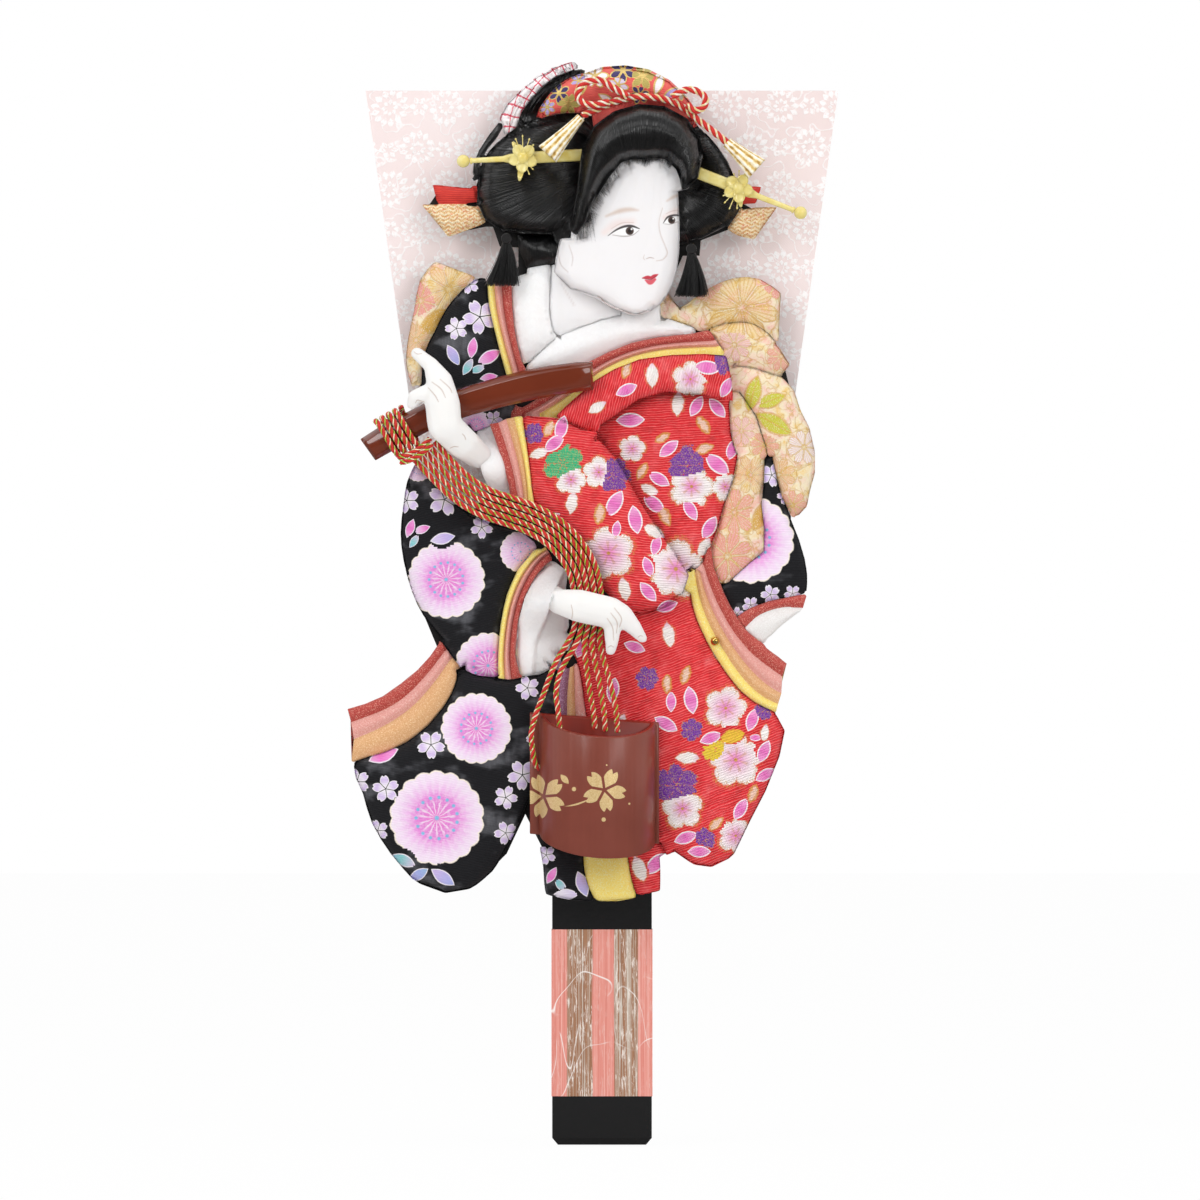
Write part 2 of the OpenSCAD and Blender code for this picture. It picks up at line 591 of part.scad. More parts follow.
// Side wing of hair and the flap behind it
module hair_wing() {
    left = [[-36, 437.5], [-42.5, 434.3], [-48.5, 428.5], [-52.3, 421.5], [-53.3, 413], [-52.6, 405],
            [-49.5, 398.5], [-43, 393.8]];
    right = [[-6.5, 441.8], [-9.6, 436], [-10, 428], [-10.9, 420], [-11.8, 411], [-13.5, 402.5],
             [-14.6, 396.5], [-20, 392.8]];
    flap_out = [[-44.3, 441], [-49, 435], [-53, 428.8], [-55.3, 423], [-55.8, 419], [-54.5, 416.5]];
    flap_in = [[-43, 438], [-45.5, 433.6], [-49.5, 428.9], [-52.4, 423.5], [-53.5, 419.5], [-53.8, 417]];
    wing_t = pin_back - card_front - 0.5;
    color(hair_black) stand() {
        pad(left, right, card_front, wing_t, 2, [4, 0]);
        pad(flap_out, flap_in, card_front, bow_t);
    }
}

module hair_topknot() {
    outer = [[-36, 439.5], [-33.8, 445.2], [-30, 450.4], [-25.3, 455.4], [-20, 459.6], [-14, 462.4],
             [-8.5, 463.8]];
    inner = [[-29.5, 443.3], [-27.3, 447], [-24, 451.8], [-20.2, 456], [-15.8, 459.3], [-11.5, 461.6],
             [-8, 462]];
    color(hair_black) stand() pad(outer, inner, card_front, 12);
}

module hair_right() {
    inner = [[42.9, 436.2], [44.3, 430], [44.4, 423], [42.3, 416], [37, 411], [34.4, 405.5],
             [34.3, 397], [34.2, 388.2]];
    outer = [[44.5, 436.4], [50, 430.3], [54.3, 423.8], [57.2, 416.5], [58.7, 409], [58, 402.5],
             [53, 395.8], [43, 390.8]];
    color(hair_black) stand() pad(inner, outer, card_front, 9);
}

module hair_nape() {
    left = [[-36.5, 391.8], [-36, 386], [-33, 380.2]];
    right = [[-21.5, 391.8], [-20, 386.5], [-21.5, 380.6]];
    color(hair_black) stand() pad(left, right, card_front, bow_t - 1, 2);
}

// Printed red cloth over the crown of the head
module red_cloth() {
    top = [[-26.5, 446], [-22.5, 452.2], [-18.5, 456.7], [-14, 459.6], [-9, 461.2], [0, 464.6],
           [10, 465.3],
           [20, 463.6], [29, 459], [36, 452.5], [40.5, 446]];
    bottom = [[-27.3, 443.8], [-21.5, 445.6], [-16, 446.6], [-10.5, 446.8], [-5, 445.6], [3, 445.6],
              [11, 448],
              [19, 449.2], [27, 448.4], [34, 445], [39, 440.8]];
    color(red_print) stand() pad(bottom, top, card_front, 14);
}

// Tie-dyed white cloth behind the topknot
module dotted_cloth() {
    outer = [[-41.8, 437.9], [-42.2, 442.3], [-38.8, 448], [-33.3, 453.5], [-27, 459], [-20, 462.8],
             [-12, 465]];
    inner = [[-39.6, 436.8], [-37, 440], [-34.8, 445.6], [-31, 451], [-26.2, 456.2], [-20.6, 460.6],
             [-12, 463.8]];
    color(dotted_white) stand() pad(outer, inner, card_front, 9);
}

// Twisted cord tied over the red cloth: one strand along the hair and two loops above it
module bow_cord() {
    low = card_front + 15.9;
    high = low + cord_d + 0.5;
    strand = [[-8.3, 443, low + 3], [-3.5, 445.3, low], [5, 449, low], [13, 451, low], [21, 451.2, low],
              [29, 449.5, low], [35, 446.5, low], [41, 441.5, low + 1], [47, 436.8, low + 3],
              [51.9, 432.9, low + 4]];
    loop_left = [[11, 451.3, high], [5, 455, high], [-1, 458.2, high], [-7, 457.2, high],
                 [-10.3, 453, high],
                 [-9, 449, high], [-3.5, 447.6, high], [3, 449, high]];
    loop_right = [[30, 451, high], [35, 453.8, high], [40, 453.8, high], [44, 451, high],
                  [43.8, 447, high],
                  [40, 445.2, high], [36.5, 447.5, high]];
    color(cord_red) stand() {
        tube(curve(strand, 12), cord_r);
        tube(curve(loop_left, 14), cord_r);
        tube(curve(loop_right, 12), cord_r);
    }
}

// Folded gold paper cap on each end of the hair cord
module tassel(from, to, z, r_from, r_to) {
    way = to - from;
    color(paper_gold) stand() translate([from[0], from[1], z])
        rotate([0, 90, atan2(way[1], way[0])]) cylinder(h = norm(way), r1 = r_from, r2 = r_to);
}

module tassel_left() {
    tassel([-9, 442.3], [-23.5, 426.5], card_front + 19.2, 1.9, 4.4);
}

module tassel_right() {
    tassel([53.5, 431.5], [66.5, 420], card_front + 20.2, 2, 4);
}

// Red and gold cloth ends standing out behind the hair
module side_left() {
    red_top = [[-73, 414.3], [-63, 413.2], [-54.3, 412.5]];
    red_low = [[-71, 406.3], [-62, 406], [-53.7, 406.4]];
    gold_top = [[-78, 405.8], [-65, 405.3], [-53.6, 404.8]];
    gold_low = [[-66, 391.3], [-58, 394.2], [-50.3, 397.3]];
    color(gold_brocade) stand() {
        pad(red_low, red_top, card_front, bow_t - 2, 2);
        pad(gold_low, gold_top, card_front, bow_t - 1, 2);
    }
}

module side_right() {
    red_top = [[59.6, 412.6], [64, 413.5], [68.7, 413.2]];
    red_low = [[60, 405.3], [63, 405.6], [66.2, 405.8]];
    gold_top = [[60.3, 403.3], [67, 404.3], [75.5, 404.5]];
    gold_low = [[54.8, 394], [59, 391.8], [65.5, 390.3]];
    color(gold_brocade) stand() {
        pad(red_low, red_top, card_front, bow_t - 2, 2);
        pad(gold_low, gold_top, card_front, bow_t - 1, 2);
    }
}

// Red robe: shoulder flap over the bodice, and the front sleeve over both
module red_flap() {
    top = [[-19.8, 314.5], [-12, 321.7], [-3, 329.6], [5.5, 334.6], [16, 338.7], [30, 340.6],
           [44, 341], [53.3, 340.3]];
    bottom = [[-18, 313.7], [-9, 309.3], [0, 310.4], [8, 315.8], [16, 321.3], [27, 324.4],
              [41, 323.6], [56.3, 320.6]];
    color(red_crepe) stand() pad(bottom, top, over_body, sleeve_t - 2, 1, [0, 0.8]);
}

module red_bodice() {
    left = [[-6, 306], [2, 302], [8, 294], [13, 285], [18, 276], [24, 266], [32, 256], [39, 249]];
    right = [[54, 324], [54.5, 310], [55.3, 302.5], [57.8, 296.5], [56, 287], [52, 276], [49.3, 266],
             [42.5, 251.5]];
    color(red_crepe) stand() pad(left, right, card_front, body_t + 0.6, 1, [10, 0]);
}

module red_sleeve() {
    left = [[-33.6, 314.3], [-32.2, 304], [-30.8, 293.5], [-29.7, 283], [-27, 273.5], [-17, 267],
            [-8.5, 259.5],
            [-3, 251], [-0.5, 241.5], [5, 234], [13, 229]];
    right = [[-20.8, 313.6], [-9, 308.2], [0, 303.3], [6.2, 296.6], [11, 288], [16, 279], [22.5, 268.5],
             [30, 257.5], [37.5, 246], [35, 238], [24, 231.3]];
    color(red_crepe) stand() pad(left, right, over_body, sleeve_t);
}

// Red, pink, tan and gold edges at the mouth of the red sleeve
module wrist_bands() {
    edges = [
        [[-48.3, 310.8], [-45.5, 303], [-42.5, 294], [-40.2, 285], [-39.2, 278]],
        [[-44.6, 311.4], [-41.8, 303], [-39, 294], [-37, 285], [-36, 277.5]],
        [[-41.2, 313], [-38.6, 304], [-36, 294.5], [-34.2, 285], [-33.4, 277]],
        [[-37.8, 313.8], [-35.6, 304.5], [-33.5, 295], [-32.2, 285], [-31.8, 276.5]],
        [[-34.8, 314.2], [-33.3, 304.3], [-31.8, 294], [-30.8, 284], [-30.3, 276]]
    ];
    color(band_red) stand() bands(edges, over_body, hem_t);
}

module wrist_lining() {
    left = [[-54.5, 304], [-53.5, 297], [-51.5, 289], [-48, 281.5]];
    right = [[-38, 311], [-36, 301], [-34, 290], [-32.5, 279]];
    color(white_silk) stand() pad(left, right, card_front, body_t + 0.5);
}

// Hanging black sleeve on the left with its layered mouth
module black_sleeve() {
    outer = [[-80.5, 294], [-84, 286], [-85.6, 276], [-86.8, 264], [-85.5, 252], [-82, 239],
             [-77, 228.5],
             [-69.5, 219.3], [-62.2, 210]];
    inner = [[-75, 289.5], [-66, 280], [-55, 271.3], [-41, 266.5], [-28.5, 259.8], [-36.7, 248.5],
             [-41.4, 237.3],
             [-44.2, 224], [-45.2, 203.5]];
    color(black_crepe) stand() pad(outer, inner, card_front, skirt_t + 1, 2, [0, 3.5]);
}

module cuff_bands() {
    edges = [
        [[-44, 202], [-44.3, 211], [-43, 225], [-40.5, 237], [-35.7, 248], [-29.5, 255.3], [-24.3, 258]],
        [[-41.8, 201.6], [-42.5, 211], [-41.3, 225], [-38.8, 236.5], [-34, 247], [-28.3, 254],
         [-23.6, 256.8]],
        [[-39, 201.4], [-40.2, 211], [-39, 225], [-36.3, 236.5], [-31.7, 246], [-26.6, 252.8],
         [-22.6, 255.4]],
        [[-35.5, 202.5], [-37.7, 211], [-36.6, 225], [-33.5, 236.5], [-29, 245.5], [-24.8, 251.3],
         [-21.6, 253.2]]
    ];
    color(band_red) stand() bands(edges, card_front, skirt_t);
}

module cuff_lining() {
    left = [[-20.5, 252], [-28, 245.3], [-32.6, 236.3], [-35.8, 225], [-36.9, 211], [-34.7, 203.4]];
    right = [[-14.5, 247], [-15.5, 240], [-14.5, 232], [-14, 224], [-18, 213.5], [-27, 204.6]];
    color(white_silk) stand() pad(left, right, card_front, bow_t);
}

// Hand gripping the pole, with the forearm that leaves the red sleeve
module hand_upper() {
    z = pole_back + pole_t + 5;
    color(skin_silk) stand() {
        limb([-53.5, 297.5, z - 12], 6, [-60, 303, z - 4.5], 7.2);
        limb([-60, 303, z - 4.5], 7.2, [-67.5, 310, z], 7.6);
        limb([-67.5, 310, z], 7.6, [-68.3, 319.5, z], 7.8);
        limb([-68.3, 319.5, z], 7.8, [-69.5, 328.5, z], 6);
        limb([-69.5, 328.5, z], 6, [-73, 335.5, z - 0.5], 3.6);
        limb([-73, 335.5, z - 0.5], 3.6, [-79.3, 340.8, z - 1.2], 2.9);
        limb([-70, 325, z], 5, [-80.3, 322.3, z - 0.8], 3.1);
        limb([-80.3, 322.3, z - 0.8], 3.1, [-81.4, 319, z - 1.5], 2.4);
    }
}

// Hand holding the cords, with the wrist that leaves the black sleeve
module hand_lower() {
    z = pole_back + pole_t + 5;
    color(skin_silk) stand() {
        limb([-21, 237, z - 11.5], 5, [-18.5, 234.5, z - 4], 5.5);
        limb([-18.5, 234.5, z - 3], 5.5, [-9, 232.5, z + 0.2], 7.4);
        limb([-9, 232.5, z + 0.2], 7.4, [2.5, 230, z + 0.4], 7.2);
        limb([2.5, 230, z + 0.4], 7.2, [8.5, 228.7, z], 5);
        limb([8.5, 228.7, z], 5, [13.5, 223.5, z - 1], 3.6);
        limb([13.5, 223.5, z - 1], 3.6, [17.3, 218.8, z - 2.4], 2.3);
        limb([4.5, 224.5, z], 4.2, [4.2, 217.5, z - 1.4], 3.1);
        limb([4.2, 217.5, z - 1.4], 3.1, [3.7, 213.6, z - 2.7], 2.4);
    }
}

// Lacquered carrying pole with bevelled edges
pole_top = [[-103.8, 304.3], [-95, 310], [-86, 314.8], [-77, 319.3], [-68, 323.3], [-58, 327],
            [-46, 330.6],
            [-34, 333.8], [-22, 336], [-11, 337.4], [-4, 337.5]];
pole_low = [[-97.2, 295], [-90, 299], [-82, 303.5], [-74, 307.8], [-65, 311.5], [-55.5, 314.6],
            [-44, 317.6],
            [-32.5, 320.3], [-21, 322.7], [-11, 324.3], [-3.8, 325.3]];

module pole() {
    spans = len(pole_top) - 1;
    across = [0, 0.2, 0.8, 1];
    grid = [for (u = stations(spans, 1))
        let (p = spot(pole_low, u), q = spot(pole_top, u), ends = u == 0 || u == spans)
        [for (s = across)
            let (at = p + s * (q - p), rim = ends || s == 0 || s == 1)
            [at[0], at[1], pole_back + (rim ? pad_edge : 1) * pole_t]]];
    color(lacquer_brown) stand() slab(grid, pole_back);
}

// Cord wound round the pole as one rising coil
winding_from = 0.95;
winding_steps = 24;
winding_half_w = 8.7;
winding_half_t = 5.3;

function winding_place(i) =
    let (a = 360 * i / winding_steps, run = winding_pitch * i / winding_steps)
    let (low = spot(pole_low, winding_from), top = spot(pole_top, winding_from))
    let (far = (spot(pole_low, winding_from + 1.2) + spot(pole_top, winding_from + 1.2)) / 2)
    let (mid = (low + top) / 2, along = unit(far - mid), side = [-along[1], along[0]])
    let (cx = sign(cos(a)) * sqrt(abs(cos(a))), cz = sign(sin(a)) * sqrt(abs(sin(a))))
    let (at = mid + run * along + winding_half_w * cx * side)
    [at[0], at[1], pole_mid + winding_half_t * cz];

module pole_winding() {
    route = [for (i = [0:winding_turns * winding_steps]) winding_place(i)];
    low = spot(pole_low, winding_from);
    high = spot(pole_top, winding_from);
    half_turn = winding_steps / 2;
    last = len(route) - 1;
    apart = [for (i = [0:last], j = [i + half_turn:1:last]) norm(route[i] - route[j])];
    echo(winding_least_gap = min(apart) - cord_d);
    color(cord_red) stand() tube(route, cord_r, 6, [high[1] - low[1], low[0] - high[0], 0]);
}

// Five cords from the pole, under the hand, to the bucket, and the tie across their start
cord_run = [[-76, 299, 37], [-68, 290.5, 37.8], [-60, 283, 38.2], [-50, 277, 38.2], [-40, 273.5, 38.2],
            [-30, 269.8, 38.2], [-21, 264.5, 38.2], [-13.5, 257, 38.2], [-8.5, 248.5, 37.6],
            [-6.5, 240, 36.8],
            [-6, 232, 36.6], [-6, 224, 36.6]];
cord_tails = [
    [[-14.5, 217.5, 36.2], [-19.3, 209.5, 36.2], [-22.5, 202, 36.3], [-25.4, 194, 36.4],
     [-28.4, 186, 36],
     [-30.3, 178, 35.6], [-29.6, 169, 35.2]],
    [[-11, 216.5, 36.2], [-15.6, 209, 36.4], [-18.6, 202, 36.6], [-19.7, 195, 37], [-19, 189, 37.6],
     [-18.4, 183, 38], [-18.2, 177.5, 38.3]],
    [[-7.6, 216.5, 36.3], [-7, 209, 36.5], [-6, 201, 37], [-4.8, 193.5, 38], [-3.6, 187, 39],
     [-3, 180, 39.8]],
    [[-4.3, 217, 36.4], [-3.2, 209.5, 36.9], [-1.6, 202, 37.6], [-0.2, 194, 38.8], [0.9, 187, 40],
     [1.4, 179, 40.6]],
    [[-1, 218, 36.5], [0.6, 210, 37.1], [2.9, 202, 38], [4.8, 194, 39.4], [6.1, 187, 40.8],
     [6.6, 178.5, 41.4]]
];
cord_step = 2.9;
cord_rings = 26;

module cords() {
    tie = [[-86.5, 294.2, 40], [-83, 294.8, 40.9], [-79, 297, 40.9], [-75.5, 299.5, 40.9],
           [-73, 302, 40.5]];
    color(cord_red) stand() {
        for (k = [0:len(cord_tails) - 1]) {
            offset_k = cord_step * (k - 2);
            tube(curve(concat(beside(cord_run, offset_k), cord_tails[k]), cord_rings), cord_r);
        }
        tube(curve(tie, 8), cord_r);
    }
}

// Half-round bucket with a flat back, open at the slanted top
bucket_mid = [-2, 159];
bucket_back = card_front + skirt_t + 0.5;
bucket_roll = -4.5;
back_plate_t = 2.2;

// Everything between two slanted planes that lie below and above the bucket's middle
module bucket_slice(below, above) {
    translate([bucket_mid[0], bucket_mid[1], bucket_back]) rotate([0, 0, bucket_roll])
        rotate([bucket_tilt, 0, 0]) translate([-60, -below, -60]) cube([120, below + above, 160]);
}

module bucket() {
    half = bucket_h / 2;
    plate_left = -31;
    plate_right = 24.5;
    color(lacquer_brown) stand() difference() {
        intersection() {
            union() {
                translate([plate_left, 100, bucket_back])
                    cube([plate_right - plate_left, 120, back_plate_t]);
                intersection() {
                    translate([bucket_mid[0], 220, bucket_back]) rotate([90, 0, 0])
                        cylinder(h = 120, r = bucket_r);
                    translate([-60, 90, bucket_back]) cube([120, 140, 60]);
                }
            }
            bucket_slice(half, half);
        }
        intersection() {
            translate([bucket_mid[0], 230, bucket_back]) rotate([90, 0, 0])
                cylinder(h = 140, r = bucket_r - bucket_wall);
            translate([-60, 80, bucket_back + back_plate_t]) cube([120, 160, 60]);
            bucket_slice(half - bucket_wall, half + 40);
        }
    }
}

// Hairpin: flat bar under the front roll, flower, slim shank and ball
module hairpin(from, turn, flower_at, ball_at) {
    petals = 5;
    petal_r = 2.9;
    petal_out = 3.7;
    flower_t = 1.8;
    shank_w = 2.6;
    color(pin_yellow) stand() translate([from[0], from[1], pin_back]) rotate([0, 0, turn]) {
        translate([0, -pin_w / 2, 0]) cube([flower_at, pin_w, pin_t]);
        translate([flower_at - 1, -shank_w / 2, 0]) cube([ball_at - flower_at + 1, shank_w, pin_t]);
        translate([ball_at, 0, pin_t / 2]) sphere(pin_ball_r);
        translate([flower_at, 0, pin_t - 0.2]) {
            cylinder(h = flower_t, r = petal_out);
            for (i = [0:petals - 1]) {
                rotate([0, 0, 360 * i / petals]) translate([petal_out, 0, 0])
                    cylinder(h = flower_t, r = petal_r);
            }
        }
    }
}

module hairpin_left() {
    hairpin([-5.5, 426.6], 183, 28.5, 54.2);
}

module hairpin_right() {
    hairpin([37.5, 420.2], -21.3, 22.5, 51.3);
}

// Hanging hair tuft: an eye on its peg and a bundle that spreads downwards
module tuft(at, ends) {
    sides = 10;
    eye_r = 2.4;
    bore_gap = 0.06;
    rings = [for (e = ends, s = [0:sides - 1]) let (a = 360 * s / sides)
        [at[0] + e[0] + e[2] * cos(a), at[1] + e[1], tuft_mid + e[3] * sin(a)]];
    walls = [for (i = [0:len(ends) - 2], s = [0:sides - 1])
        let (a = i * sides + s, b = i * sides + (s + 1) % sides)
        each [[a, b + sides, b], [a, a + sides, b + sides]]];
    last = (len(ends) - 1) * sides;
    caps = [[for (s = [0:sides - 1]) s], [for (s = [sides - 1:-1:0]) last + s]];
    color(hair_black) stand() {
        difference() {
            translate([at[0], at[1], tuft_mid - tuft_half]) cylinder(h = 2 * tuft_half, r = eye_r);
            translate([at[0], at[1], 0]) cylinder(h = 60, r = peg_r + bore_gap);
        }
        polyhedron(rings, concat(walls, caps));
    }
}

module tuft_left() {
    tuft(peg_left, [[0, -1.5, 1.5, 1.2], [-0.3, -7.5, 3.2, 1.7], [-0.9, -14, 5.2, 2.1],
                    [-1.3, -20, 6.2, 2.3]]);
}

module tuft_right() {
    tuft(peg_right, [[0, -1.5, 1.5, 1.2], [-0.1, -8, 3.2, 1.7], [0, -15, 5.2, 2.1],
                     [0.1, -20.5, 6.2, 2.3]]);
}

board();
blade_cloth();
handle_wrap();
handle_band();
cleat();
figure_card();
bow_left();
bow_right_top();
bow_right_mid();
bow_tail();
sash();
back_sleeve();
back_cuff();
hem_right();
hem_left();
nail();
black_skirt();
red_skirt();
panel_red();
panel_gold();
panel_black();
inner_layers();
black_shoulder();
collar_left();
collar_white_left();
collar_white_right();
collar_right();
neck();
face();
hair_front();
hair_wing();
hair_topknot();
hair_right();
hair_nape();
red_cloth();
dotted_cloth();
bow_cord();
tassel_left();
tassel_right();
side_left();
side_right();
red_flap();
red_bodice();
red_sleeve();
wrist_bands();
wrist_lining();
black_sleeve();
cuff_bands();
cuff_lining();
hand_upper();
hand_lower();
pole();
pole_winding();
cords();
bucket();
hairpin_left();
hairpin_right();
tuft_left();
tuft_right();
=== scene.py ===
import math
from contextlib import contextmanager

import bmesh
import bpy
import numpy as np
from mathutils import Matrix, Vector, noise
from mathutils.bvhtree import BVHTree
from mathutils.kdtree import KDTree


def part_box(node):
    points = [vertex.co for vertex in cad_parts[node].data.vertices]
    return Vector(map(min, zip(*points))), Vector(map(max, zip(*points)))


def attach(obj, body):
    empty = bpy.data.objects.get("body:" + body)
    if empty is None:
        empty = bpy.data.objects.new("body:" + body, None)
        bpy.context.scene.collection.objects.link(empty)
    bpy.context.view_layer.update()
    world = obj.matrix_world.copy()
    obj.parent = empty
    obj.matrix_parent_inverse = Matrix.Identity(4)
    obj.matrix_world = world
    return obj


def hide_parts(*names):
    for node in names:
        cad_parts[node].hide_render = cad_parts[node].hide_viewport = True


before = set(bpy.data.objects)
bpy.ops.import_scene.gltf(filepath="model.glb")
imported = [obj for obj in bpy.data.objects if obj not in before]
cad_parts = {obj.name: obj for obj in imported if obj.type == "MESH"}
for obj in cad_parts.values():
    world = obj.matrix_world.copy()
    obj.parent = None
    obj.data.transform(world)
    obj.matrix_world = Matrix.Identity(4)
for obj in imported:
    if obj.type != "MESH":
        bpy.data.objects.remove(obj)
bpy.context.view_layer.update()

# Studio
# A plain pale floor under the handle's end, three soft lamps and white air behind the object.
# The camera looks straight at the front from far off, so that near and far pieces keep one scale.
scene = bpy.context.scene
scene.view_settings.view_transform = "Standard"

PICTURE_WIDE = 0.516
PICTURE_MIDDLE = Vector((-0.00086, -0.025, 0.2352))
CAMERA_AWAY = 5.0
AIR_LIGHT = 0.58
BEHIND_CAMERA = 0.1
FLOOR_WHITE, FLOOR_MIRROR = 0.97, 0.85
FLOOR_HALF, FLOOR_AT = 5.0, -5e-4
LAMPS_AIM = Vector((0, 0, 0.25))


class Lead:
    """A socket in a finish, and the sums that can be made from it."""

    def __init__(self, tree, socket):
        self.tree, self.socket = tree, socket

    def sum(self, how, *others):
        return step(self.tree, "Math", dict(enumerate((self, *others))), operation=how)

    def __add__(self, other):
        return self.sum("ADD", other)

    def __sub__(self, other):
        return self.sum("SUBTRACT", other)

    def __rsub__(self, other):
        return step(self.tree, "Math", {0: other, 1: self}, operation="SUBTRACT")

    def __mul__(self, other):
        return self.sum("MULTIPLY", other)

    def __truediv__(self, other):
        return self.sum("DIVIDE", other)

    def __abs__(self):
        return self.sum("ABSOLUTE")

    def over(self, limit, soft, low=0.0, high=1.0):
        """1 where this is over the limit, 0 where it is under, with a soft edge."""
        values = {0: self - limit, 1: -soft, 2: soft, 3: low, 4: high}
        return step(self.tree, "MapRange", values, interpolation_type="SMOOTHSTEP")

    def under(self, limit, soft):
        return self.over(limit, soft, 1.0, 0.0)

    def capped(self):
        return self.sum("MINIMUM", 1.0)

    def most(self, other):
        return self.sum("MAXIMUM", other)

    def mix(self, a, b):
        """Colour a where this is 0 and b where it is 1."""
        return step(self.tree, "Mix", {0: self, 6: a, 7: b}, out=2, data_type="RGBA")

    def ramp(self, *stops):
        """Colours along this number, as (place, colour) pairs."""
        lead = step(self.tree, "ValToRGB", {0: self})
        bar = lead.socket.node.color_ramp
        while len(bar.elements) < len(stops):
            bar.elements.new(1.0)
        for element, (at, colour) in zip(bar.elements, stops):
            element.position, element.color = at, dye(colour)
        return lead

    def part(self, letter):
        return step(self.tree, "SeparateXYZ", {0: self}, out="XYZ".index(letter))

    def stretch(self, sizes):
        return step(self.tree, "VectorMath", {0: self, 1: sizes}, operation="MULTIPLY")


def step(tree, kind, values=None, out=0, **settings):
    node = tree.nodes.new("ShaderNode" + kind)
    for name, value in settings.items():
        setattr(node, name, value)
    for name, value in (values or {}).items():
        plug(tree, value, node.inputs[name])
    return Lead(tree, node.outputs[out]) if node.outputs else None


def plug(tree, value, socket):
    """Joins a lead, a colour's code or a plain value to a socket."""
    if isinstance(value, Lead):
        tree.links.new(value.socket, socket)
    else:
        socket.default_value = dye(value) if isinstance(value, str) else value


def dye(code):
    """A colour as it is written for a screen, as a shader takes it."""
    parts = [int(code[k:k + 2], 16) / 255 for k in (0, 2, 4)]
    return (*(c / 12.92 if c <= 0.04045 else ((c + 0.055) / 1.055) ** 2.4 for c in parts), 1.0)


def grain(at, size, detail=2.0, rough=0.5, out=0):
    """Noise with lumps of that size, in the units of at."""
    values = {"Vector": at, "Scale": 1 / size, "Detail": detail, "Roughness": rough}
    return step(at.tree, "TexNoise", values, out=out)


def begin(name):
    """A new finish with its nodes, and the place on the piece that it reads, in millimetres."""
    material = bpy.data.materials.new(name)
    material.use_nodes = True
    material.node_tree.nodes.clear()
    spot = step(material.node_tree, "TexCoord", out=3)
    return material, material.node_tree, spot.stretch((1000, 1000, 1000))


def end(material, colour, rough, height=None, relief=0.0, **fixed):
    """Joins colour, roughness and relief (metres) to the shader; fixed values go on its own sockets."""
    tree = material.node_tree
    values = {"Base Color": colour, "Roughness": rough}
    if height is not None:
        values["Normal"] = step(tree, "Bump", {"Strength": 1.0, "Distance": relief, "Height": height})
    values.update({name.replace("_", " "): value for name, value in fixed.items()})
    shader = step(tree, "BsdfPrincipled", values)
    step(tree, "OutputMaterial", {0: shader})
    return material


def link(name, mesh):
    piece = bpy.data.objects.new(name, mesh)
    scene.collection.objects.link(piece)
    return piece


lens = bpy.data.cameras.new("straight_on")
lens.angle = 2 * math.atan(PICTURE_WIDE / 2 / CAMERA_AWAY)
lens.clip_end = 60
camera = link("straight_on", lens)
camera.location = PICTURE_MIDDLE - Vector((0, CAMERA_AWAY, 0))
camera.rotation_euler = (math.pi / 2, 0, 0)
scene.camera = camera

for name, place, power, wide in (
    ("lamp_left", (-1.3, -1.7, 1.5), 17.4, 1.0),
    ("lamp_right", (1.6, -2.3, 1.2), 19.2, 1.2),
    ("lamp_above", (0.1, -0.5, 2.0), 6.0, 1.0),
):
    lamp = bpy.data.lights.new(name, "AREA")
    lamp.energy, lamp.size = power, wide
    holder = link(name, lamp)
    holder.location = place
    holder.rotation_euler = (LAMPS_AIM - Vector(place)).to_track_quat("-Z", "Y").to_euler()

air = bpy.data.worlds.new("white_air")
air.use_nodes = True
air.node_tree.nodes.clear()
rays = step(air.node_tree, "LightPath")
camera_ray, glossy, through = (
    Lead(air.node_tree, rays.socket.node.outputs[n])
    for n in ("Is Camera Ray", "Is Glossy Ray", "Is Transmission Ray")
)
facing = step(air.node_tree, "TexCoord").part("Y").over(-0.35, 0.5)
mirrored = glossy * (facing * (1 - BEHIND_CAMERA) + BEHIND_CAMERA)
other = (1 - camera_ray.most(glossy).most(through)) * AIR_LIGHT
seen = camera_ray.most(through) + mirrored + other
glow = step(air.node_tree, "Background", {"Color": (1, 1, 1, 1), "Strength": seen})
step(air.node_tree, "OutputWorld", {0: glow})
scene.world = air

corners = [(x * FLOOR_HALF, y * FLOOR_HALF, FLOOR_AT) for x, y in ((-1, -1), (1, -1), (1, 1), (-1, 1))]
floor_mesh = bpy.data.meshes.new("floor")
floor_mesh.from_pydata(corners, [], [(0, 1, 2, 3)])
floor = link("floor", floor_mesh)
pale, tree, _ = begin("pale_floor")
rays = step(tree, "LightPath")
mirrored = Lead(tree, rays.socket.node.outputs["Is Glossy Ray"]) * FLOOR_MIRROR
bare = step(tree, "BsdfDiffuse", {0: "f4f3f2"})
dark = step(tree, "Emission", {0: (1, 1, 1, 1), 1: BEHIND_CAMERA})
white = step(tree, "Emission", {0: (1, 1, 1, 1), 1: 1.0})
plain = step(tree, "MixShader", {0: mirrored, 1: bare, 2: dark})
step(tree, "OutputMaterial", {0: step(tree, "MixShader", {0: rays * FLOOR_WHITE, 1: plain, 2: white})})
floor_mesh.materials.append(pale)

# Board
# A light paulownia board, planed flat, with a wooden cleat glued on that holds the picture off it.
# The picture is built up on a card cut to its outline, coloured near black as painted shade where it
# shows between the pads, with scraps of cloth under two joins.


def dress(node, material):
    """Gives a CAD node that keeps its shape a better finish."""
    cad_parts[node].data.materials[0] = material


